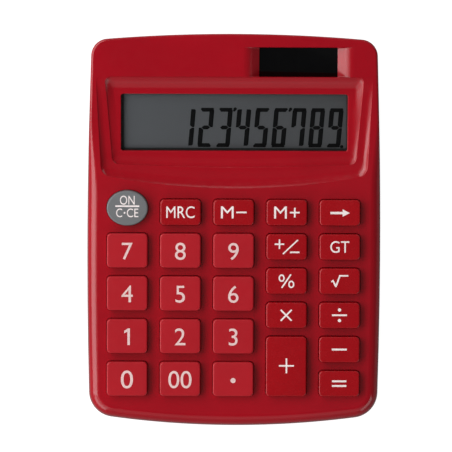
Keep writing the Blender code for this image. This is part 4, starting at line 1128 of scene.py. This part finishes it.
def build_back_shell():
    """Lower casing, with softly rolled edges around the same posts, bores and battery bay."""

    def rim(y):
        return parting_height(y) - FIT_GAP

    lip, inset, bevel, turn = 3.3 * MM, 0.4 * MM, 0.2 * MM, 2.6 * MM
    loops = [
        case_loop(lip, UNDERSIDE + WALL),
        case_loop(lip, lambda y: rim(y) + LIP_HEIGHT),
        case_loop(WALL + FIT_GAP, lambda y: rim(y) + LIP_HEIGHT),
        case_loop(WALL + FIT_GAP, rim),
        case_loop(inset + bevel, rim),
        case_loop(inset + bevel * 0.3, lambda y: rim(y) - bevel * 0.3),
        case_loop(inset, lambda y: rim(y) - bevel),
    ]
    for come_in, drop in roll(range(0, 91, 10)):
        loops.append(case_loop(0.6 * MM + turn * come_in, UNDERSIDE + turn * drop))
    posts, notches, bores, holes, slots = [], [], [], [], []
    for x, y, meet in CASE_SCREWS:
        posts.append(cylinder(x, y, POST_RADIUS, UNDERSIDE + 0.6 * MM, meet - FIT_GAP, 40))
        notches.append(cylinder(x, y, BOSS_RADIUS + FIT_GAP, meet - FIT_GAP, ABOVE_ALL))
        bores.append(moved(flared_bore(CASE_HEAD[0] + FIT_GAP, meet - SEAT_BELOW_MEET), x, y))
        holes.append(cylinder(x, y, CASE_SHANK[0] + FIT_GAP, 2 * MM, meet + 2 * MM, 28))
    pad = (FOOT_RADIUS + FIT_GAP, FOOT_THICKNESS + FIT_GAP)
    pads = [moved(flared_bore(*pad), x, y) for x, y in FEET]
    x0, x1, y0, y1 = BAY_BOX
    skin_box = (x0 - BAY_SKIN, x1 + BAY_SKIN, y0 - BAY_SKIN, y1 + BAY_SKIN)
    mouth, edge = door_outline(0.3 * MM, 1.2 * MM), door_outline(0, 0.9 * MM)
    low = UNDERSIDE - CUTTER_OVERLAP
    recess = stack(
        (mouth, -1 * MM),
        (mouth, low),
        (door_outline(0.1 * MM, 1 * MM), low + 0.12 * MM),
        (edge, UNDERSIDE + 0.3 * MM),
        (edge, UNDERSIDE + DOOR_RECESS),
    )
    half = TONGUE_WIDTH / 2 + 0.4 * MM
    near, far = DOOR_BOX[2] - 1.5 * MM, BAY_BOX[2] + 0.1 * MM
    for x in TONGUE_XS:
        slots.append(box(x - half, x + half, near, far, UNDERSIDE + 1.1 * MM, UNDERSIDE + 3.4 * MM))
    x, y = CELL_CENTRE
    for left in (-6 * MM, x + CELL_RADIUS + FIT_GAP):
        edges = (left - 0.4 * MM, left + 0.8 * MM, y - 1.9 * MM, y + 1.9 * MM)
        slots.append(box(*edges, 5 * MM, 12 * MM))
    shell = carve(
        skin(loops),
        joined(merged(posts)),
        joined(box(*skin_box, UNDERSIDE + 1.5 * MM, BAY_ROOF + BAY_SKIN)),
        merged(notches),
        merged(bores),
        merged(holes),
        merged(pads),
        recess,
        box(*BAY_BOX, 0, BAY_ROOF),
        merged(slots),
    )
    add_piece("back_case", shell, "case_red", "back_shell")


def flared_bore(radius, top):
    """A round cutter from below whose mouth flares over a small radius."""
    flare = 0.35 * MM
    profile = [(radius + flare, -1 * MM), (radius + flare, UNDERSIDE - CUTTER_OVERLAP)]
    for degrees in (30, 60, 90):
        angle = math.radians(degrees)
        reach = flare * (1 - math.sin(angle)) * math.cos(angle / 2)
        profile.append((radius + reach, UNDERSIDE + flare * math.sin(angle)))
    return turned([*profile, (radius, top)], 64)


def door_outline(outset, radius):
    x0, x1, y0, y1 = DOOR_BOX
    outline = rounded_rectangle(x1 - x0 + 2 * outset, y1 - y0 + 2 * outset, radius, 6)
    return shifted(outline, (x0 + x1) / 2, (y0 + y1) / 2)


def build_door():
    """Battery door: a plate with hooked tongues, a finger notch and a fan of grip ribs."""
    bottom, edge = UNDERSIDE, 0.18 * MM
    wall = door_outline(-FIT_GAP, 0.7 * MM)
    plate = stack(
        (door_outline(-FIT_GAP - edge, 0.5 * MM), bottom),
        (door_outline(-FIT_GAP - edge * 0.3, 0.6 * MM), bottom + edge * 0.3),
        (wall, bottom + edge),
        (wall, bottom + DOOR_THICKNESS),
    )
    hinge_y, rear = DOOR_BOX[2] + FIT_GAP, DOOR_BOX[3] - FIT_GAP
    section = [(hinge_y + y * MM, bottom + z * MM) for y, z in TONGUE_SECTION]
    tongues = []
    for x in TONGUE_XS:
        sides = (x - TONGUE_WIDTH / 2, x + TONGUE_WIDTH / 2)
        tongues.append(skin([[Vector((side, *point)) for point in section] for side in sides]))
    notch = shifted(rounded_rectangle(*NOTCH_SIZE, 0.7 * MM, 6), 0, rear - NOTCH_FROM_REAR)
    notch = prism(notch, -1 * MM, bottom + NOTCH_DEPTH)
    ribs = []
    length, width = RIB_SIZE
    for row in range(RIB_ROWS):
        rib = rounded_rectangle(length - RIB_SHORTER_BY * row, width, 0.24 * MM, 6)
        rib = shifted(rib, 0, rear - RIB_FROM_REAR - RIB_PITCH * row)
        middle = mean_point(rib)
        crest = [p.lerp(middle, 0.12) for p in rib]
        ribs.append(stack((crest, bottom - RIB_RISE), (rib, bottom + 0.1 * MM)))
    door = carve(plate, joined(merged(tongues)), notch, joined(merged(ribs)))
    add_piece("door_cover", door, "case_red", "battery_door", "battery_door")


def build_cell():
    """Button cell: a can with rolled edges around a raised, slightly smaller cap."""
    low, high = CELL_HEIGHTS
    edge = 0.45 * MM
    profile = [(CELL_RADIUS - 1.2 * MM, low), (CELL_RADIUS - 0.5 * MM, low)]
    profile += [(CELL_RADIUS - edge * drop, low + edge * up) for up, drop in roll((30, 60, 90))]
    profile += [(CELL_RADIUS - inset * MM, high - drop * MM) for inset, drop in CELL_CRIMP]
    cell = moved(turned(profile, 96), *CELL_CENTRE)
    add_piece("coin_cell", cell, "steel", "button_cell")


def build_case_screws():
    """Pan-head screws that point up, each with a tapered cross recess in its head."""
    shank_radius, shank_length = CASE_SHANK
    radius, height = CASE_HEAD
    dome = [
        (radius * (0.45 + 0.55 * (1 - drop)), -height + 0.75 * MM * up)
        for up, drop in roll((20, 40, 60, 80, 90))
    ]
    profile = [
        (radius * 0.45, -height),
        *dome,
        (radius, 0),
        (shank_radius, 0),
        (shank_radius, shank_length * 0.85),
        (shank_radius * 0.5, shank_length),
    ]
    mouth, end = plus_shape(0, 0, *DRIVE_MOUTH), plus_shape(0, 0, *DRIVE_END)
    for number, (x, y, meet) in enumerate(CASE_SCREWS, 1):
        drive = stack((mouth, -height - 0.1 * MM), (end, -height + DRIVE_DEPTH))
        screw = carve(turned(profile, 48), drive)
        seat = Matrix.Translation((x, y, meet - SEAT_BELOW_MEET - FIT_GAP))
        screw = placed(screw, seat @ Matrix.Rotation(SCREW_TURN * number, 4, "Z"))
        add_piece(f"screw_head_{number}", screw, "steel", f"case_screw_{number}")


def build_feet():
    edge = 0.4 * MM
    profile = [(FOOT_RADIUS * 0.3, 0), (FOOT_RADIUS - edge * 1.2, 0)]
    profile += [(FOOT_RADIUS - edge * drop, edge * up) for up, drop in roll((0, 30, 60, 90))]
    profile.append((FOOT_RADIUS, FOOT_THICKNESS))
    for number, (x, y) in enumerate(FEET, 1):
        foot = moved(turned(profile, 96), x, y)
        add_piece(f"foot_pad_{number}", foot, "foot_rubber", f"rubber_foot_{number}")


# ---- display


# The segments that show each digit from 1 to 9.
SEGMENTS = ("bc", "abged", "abgcd", "fgbc", "afgcd", "afgedc", "fabc", "abcdefg", "abcdfg")
DIGIT_SIZE = mm(4.85, 14)
POST_WIDTH = 1.62 * MM
BAR_WIDTH = 1.38 * MM
POST_DROP = 0.5 * MM
SEGMENT_GAP = 0.1 * MM
CORNER_CUT = 0.42 * MM
DIGIT_SLANT = math.tan(math.radians(4.7))
DIGIT_SPACING = 6.4 * MM
DIGIT_MIDDLE_Y = -2.2 * MM
LAST_DIGIT_X = 34.95 * MM
INK_MARK_RADIUS = 0.58 * MM


def segment_outlines():
    """The seven segments about a digit's middle: plump posts and bars that meet at the corners."""
    x, y = DIGIT_SIZE[0] / 2, DIGIT_SIZE[1] / 2
    cut, gap, half = CORNER_CUT, SEGMENT_GAP, BAR_WIDTH / 2
    inner, core, shoulder = x - POST_WIDTH, x - POST_WIDTH / 2, y - POST_DROP
    beam = [(x - cut, y), (x - gap, y - cut), (core, y - BAR_WIDTH)]
    beam += [(-px, py) for px, py in reversed(beam)]
    post = [
        (x, cut), (x, shoulder - cut), (x - cut, shoulder), (inner + gap, shoulder),
        (inner, shoulder - gap), (inner, half + gap), (core, gap), (x - gap, gap),
    ]
    middle = [(core - gap, 0), (inner - gap, half), (gap - inner, half)]
    middle += [(-px, -py) for px, py in middle]
    shapes = (beam, post, post, beam, post, post, middle)
    sides, ups = (1, 1, 1, 1, -1, -1, 1), (1, 1, -1, -1, -1, 1, 1)
    outlines = {}
    for name, points, across, up in zip("abcdefg", shapes, sides, ups):
        outline = [Vector((px * across, py * up)) for px, py in points]
        outlines[name] = outline if across * up > 0 else outline[::-1]
    return outlines


def slanted(point, centre_x):
    return Vector((centre_x + point.x + point.y * DIGIT_SLANT, DIGIT_MIDDLE_Y + point.y))


def display_ink():
    """The shown number, with a mark after each third digit and a point after the last."""
    outlines = []
    shapes = segment_outlines()
    half_height = DIGIT_SIZE[1] / 2
    drop = [
        p if p.y > -0.3 * MM else Vector((p.x - 0.25 * MM, p.y * 1.6))
        for p in disc(0, 0, INK_MARK_RADIUS)
    ]
    mark = shifted(drop, 0, half_height - 0.4 * MM)
    for index, segments in enumerate(SEGMENTS):
        x = LAST_DIGIT_X - (8 - index) * DIGIT_SPACING
        outlines += [[slanted(p, x) for p in shapes[name]] for name in segments]
        if index in (2, 5):
            outlines.append([slanted(p, x + DIGIT_SPACING / 2) for p in mark])
    point = disc(0, 0.3 * MM - half_height, INK_MARK_RADIUS)
    outlines.append([slanted(p, LAST_DIGIT_X + 2.9 * MM) for p in point])
    return outlines


def build_display():
    width, length = WINDOW_SIZE
    plug_size = (width - 2 * FIT_GAP, length - 2 * FIT_GAP)
    plug = rounded_rectangle(*plug_size, WINDOW_CORNER_RADIUS - 0.2 * MM, 6)
    edge = rounded_rectangle(*(side - 0.2 * MM for side in plug_size), 0.5 * MM, 6)
    flange = rounded_rectangle(width + 2 * LENS_FLANGE, length + 2 * LENS_FLANGE, 1 * MM, 6)
    lens = stack(
        (flange, LENS_BOTTOM),
        (flange, LENS_FLANGE_TOP),
        (plug, LENS_FLANGE_TOP),
        (plug, LENS_TOP - 0.1 * MM),
        (edge, LENS_TOP),
    )
    add_piece("display_window", placed(lens, PANEL), "lens_clear", "display_lens")

    rim = 0.12 * MM
    glass = rounded_rectangle(*LCD_SIZE, 0.3 * MM, 3)
    glass_top = rounded_rectangle(*(side - 2 * rim for side in LCD_SIZE), 0.3 * MM, 3)
    cell = stack((glass, LCD_BOTTOM), (glass, LCD_TOP - rim), (glass_top, LCD_TOP))
    add_piece("display_glass", placed(cell, PANEL), "lcd_grey", "lcd_cell")
    ink = raised([flat(*display_ink())], LCD_TOP - 0.05 * MM, LCD_TOP + 0.03 * MM)
    add_piece("display_digits", placed(ink, PANEL), "lcd_ink", weighted=False)


def build_painted_window_shadow():
    """Painted shadow: a thin black frame under the lens, widest at the window's left and front
    edges, where the window's walls throw their shade onto the display.
    """
    width, length = WINDOW_SIZE
    left, right, front, rear = PAINTED_SHADOW_MARGINS
    opening = rounded_rectangle(width - left - right, length - front - rear, 0.6 * MM)
    opening = shifted(opening, (left - right) / 2, (front - rear) / 2)
    outer = rounded_rectangle(width + 2 * MM, length + 2 * MM, 1 * MM)
    low, high = LENS_BOTTOM - 0.2 * MM, LENS_BOTTOM - 0.1 * MM
    shadow_ring = stack((outer, low), (outer, high), (opening, high), (opening, low), closed=True)
    add_piece("window_shadow_band", placed(shadow_ring, PANEL), "gasket_black", weighted=False)


# ---- stage


FLOOR_GLOW = 0.045
FLOOR_WHITE = 0.97
LIGHT_DISTANCE = 1.1
LIGHT_TARGET = Vector((0, 0, 0.01))
SOFTBOX_SIZE = (0.8, 0.5)
ROOM_GLOW = 0.088
CAMERA_HEIGHT = 2.0
CAMERA_OFFSET = mm(-2.73, 1.4)
CAMERA_TURN = math.radians(0.21)
FRAME_WIDTH = 156.8 * MM
FRAME_LEVEL = 16 * MM
SENSOR_WIDTH = 36

# Each softbox's side and height in degrees, then its power in watts. Side 0 is +X and 90 is +Y.
SOFTBOXES = {
    "left_low": (180, 18, 3.5),
    "front_left_low": (225, 18, 2.8),
    "front_right_low": (315, 18, 1.7),
    "front_low": (270, 18, 0.25),
    "rear_low": (90, 18, 1.3),
    "rear_right_low": (45, 18, 1.3),
    "rear_left_low": (135, 18, 0.9),
    "front_high": (270, 38, 0.4),
    "left_high": (180, 42, 3.6),
    "front_left_high": (225, 40, 1.2),
    "rear_left_high": (135, 42, 3.7),
    "rear_left_top": (160, 60, 1.6),
    "top": (270, 83, 0.06),
}


def build_stage():
    """A pale floor that the camera sees as near white, while it sends little light back up."""
    floor = bmesh.new()
    bmesh.ops.create_grid(floor, x_segments=1, y_segments=1, size=3.0)
    obj = mesh_object("studio_floor", floor)
    obj.location.z = -0.2 * MM
    graph = Graph("floor_pale")
    graph.set(Base_Color=(0.22, 0.22, 0.22, 1), Roughness=0.9, Specular_IOR_Level=0.0)
    sight = graph.add("ShaderNodeLightPath").outputs["Is Camera Ray"]
    glow = graph.span(sight, FLOOR_GLOW, FLOOR_WHITE, 0, 1)
    graph.set(Emission_Color=(1, 1, 1, 1), Emission_Strength=glow)
    obj.data.materials.append(graph.material)


def add_softbox(name, side, height, power):
    light = bpy.data.lights.new(name, "AREA")
    light.shape = "RECTANGLE"
    light.size, light.size_y = SOFTBOX_SIZE
    light.energy = power
    obj = link(name, light)
    lift = Matrix.Rotation(-math.radians(height), 3, "Y")
    turn = Matrix.Rotation(math.radians(side), 3, "Z")
    obj.location = turn @ lift @ Vector((LIGHT_DISTANCE, 0, 0))
    towards = LIGHT_TARGET - obj.location
    obj.rotation_euler = towards.to_track_quat("-Z", "Y").to_euler()


def build_light():
    """Softboxes in a ring, strongest on the left, in a dim even room."""
    world = bpy.data.worlds.new("studio")
    bpy.context.scene.world = world
    world.use_nodes = True
    background = world.node_tree.nodes["Background"]
    background.inputs["Color"].default_value = (1, 1, 1, 1)
    background.inputs["Strength"].default_value = ROOM_GLOW
    for name, (side, height, power) in SOFTBOXES.items():
        add_softbox(name, side, height, power)
    view = bpy.context.scene.view_settings
    view.view_transform = "Standard"
    view.look = "None"


def build_camera():
    camera = bpy.data.cameras.new("camera")
    camera.sensor_width = SENSOR_WIDTH
    camera.lens = SENSOR_WIDTH * CAMERA_HEIGHT / FRAME_WIDTH
    camera.clip_end = 20
    obj = link("camera", camera)
    obj.location = (*CAMERA_OFFSET, CAMERA_HEIGHT + FRAME_LEVEL)
    obj.rotation_euler = (0, 0, CAMERA_TURN)
    bpy.context.scene.camera = obj


def dress_cad_nodes(frame):
    """Gives every CAD node its procedural material and smooth shading."""
    slots = {part["node"]: part["material_slot"] for part in frame["record"]["subparts"]}
    for name, obj in frame["nodes"].items():
        obj.data.materials.clear()
        obj.data.materials.append(MATERIALS[slots[name]])
        weld = obj.modifiers.new("weld", "WELD")
        weld.merge_threshold = WELD_DISTANCE
        shade(obj, CAD_SHARP_ANGLE)


def main():
    for obj in list(bpy.data.objects):
        bpy.data.objects.remove(obj)
    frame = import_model()
    make_materials()
    dress_cad_nodes(frame)
    build_front_shell()
    for key in key_table():
        build_key(*key)
        build_legend(*key)
        build_dome(*key[:3])
    build_keypad_sheet()
    build_display()
    # Painted shadow: a black frame along the window's left and front edges.
    build_painted_window_shadow()
    build_back_shell()
    build_door()
    build_cell()
    build_case_screws()
    build_feet()
    build_stage()
    build_light()
    build_camera()


main()
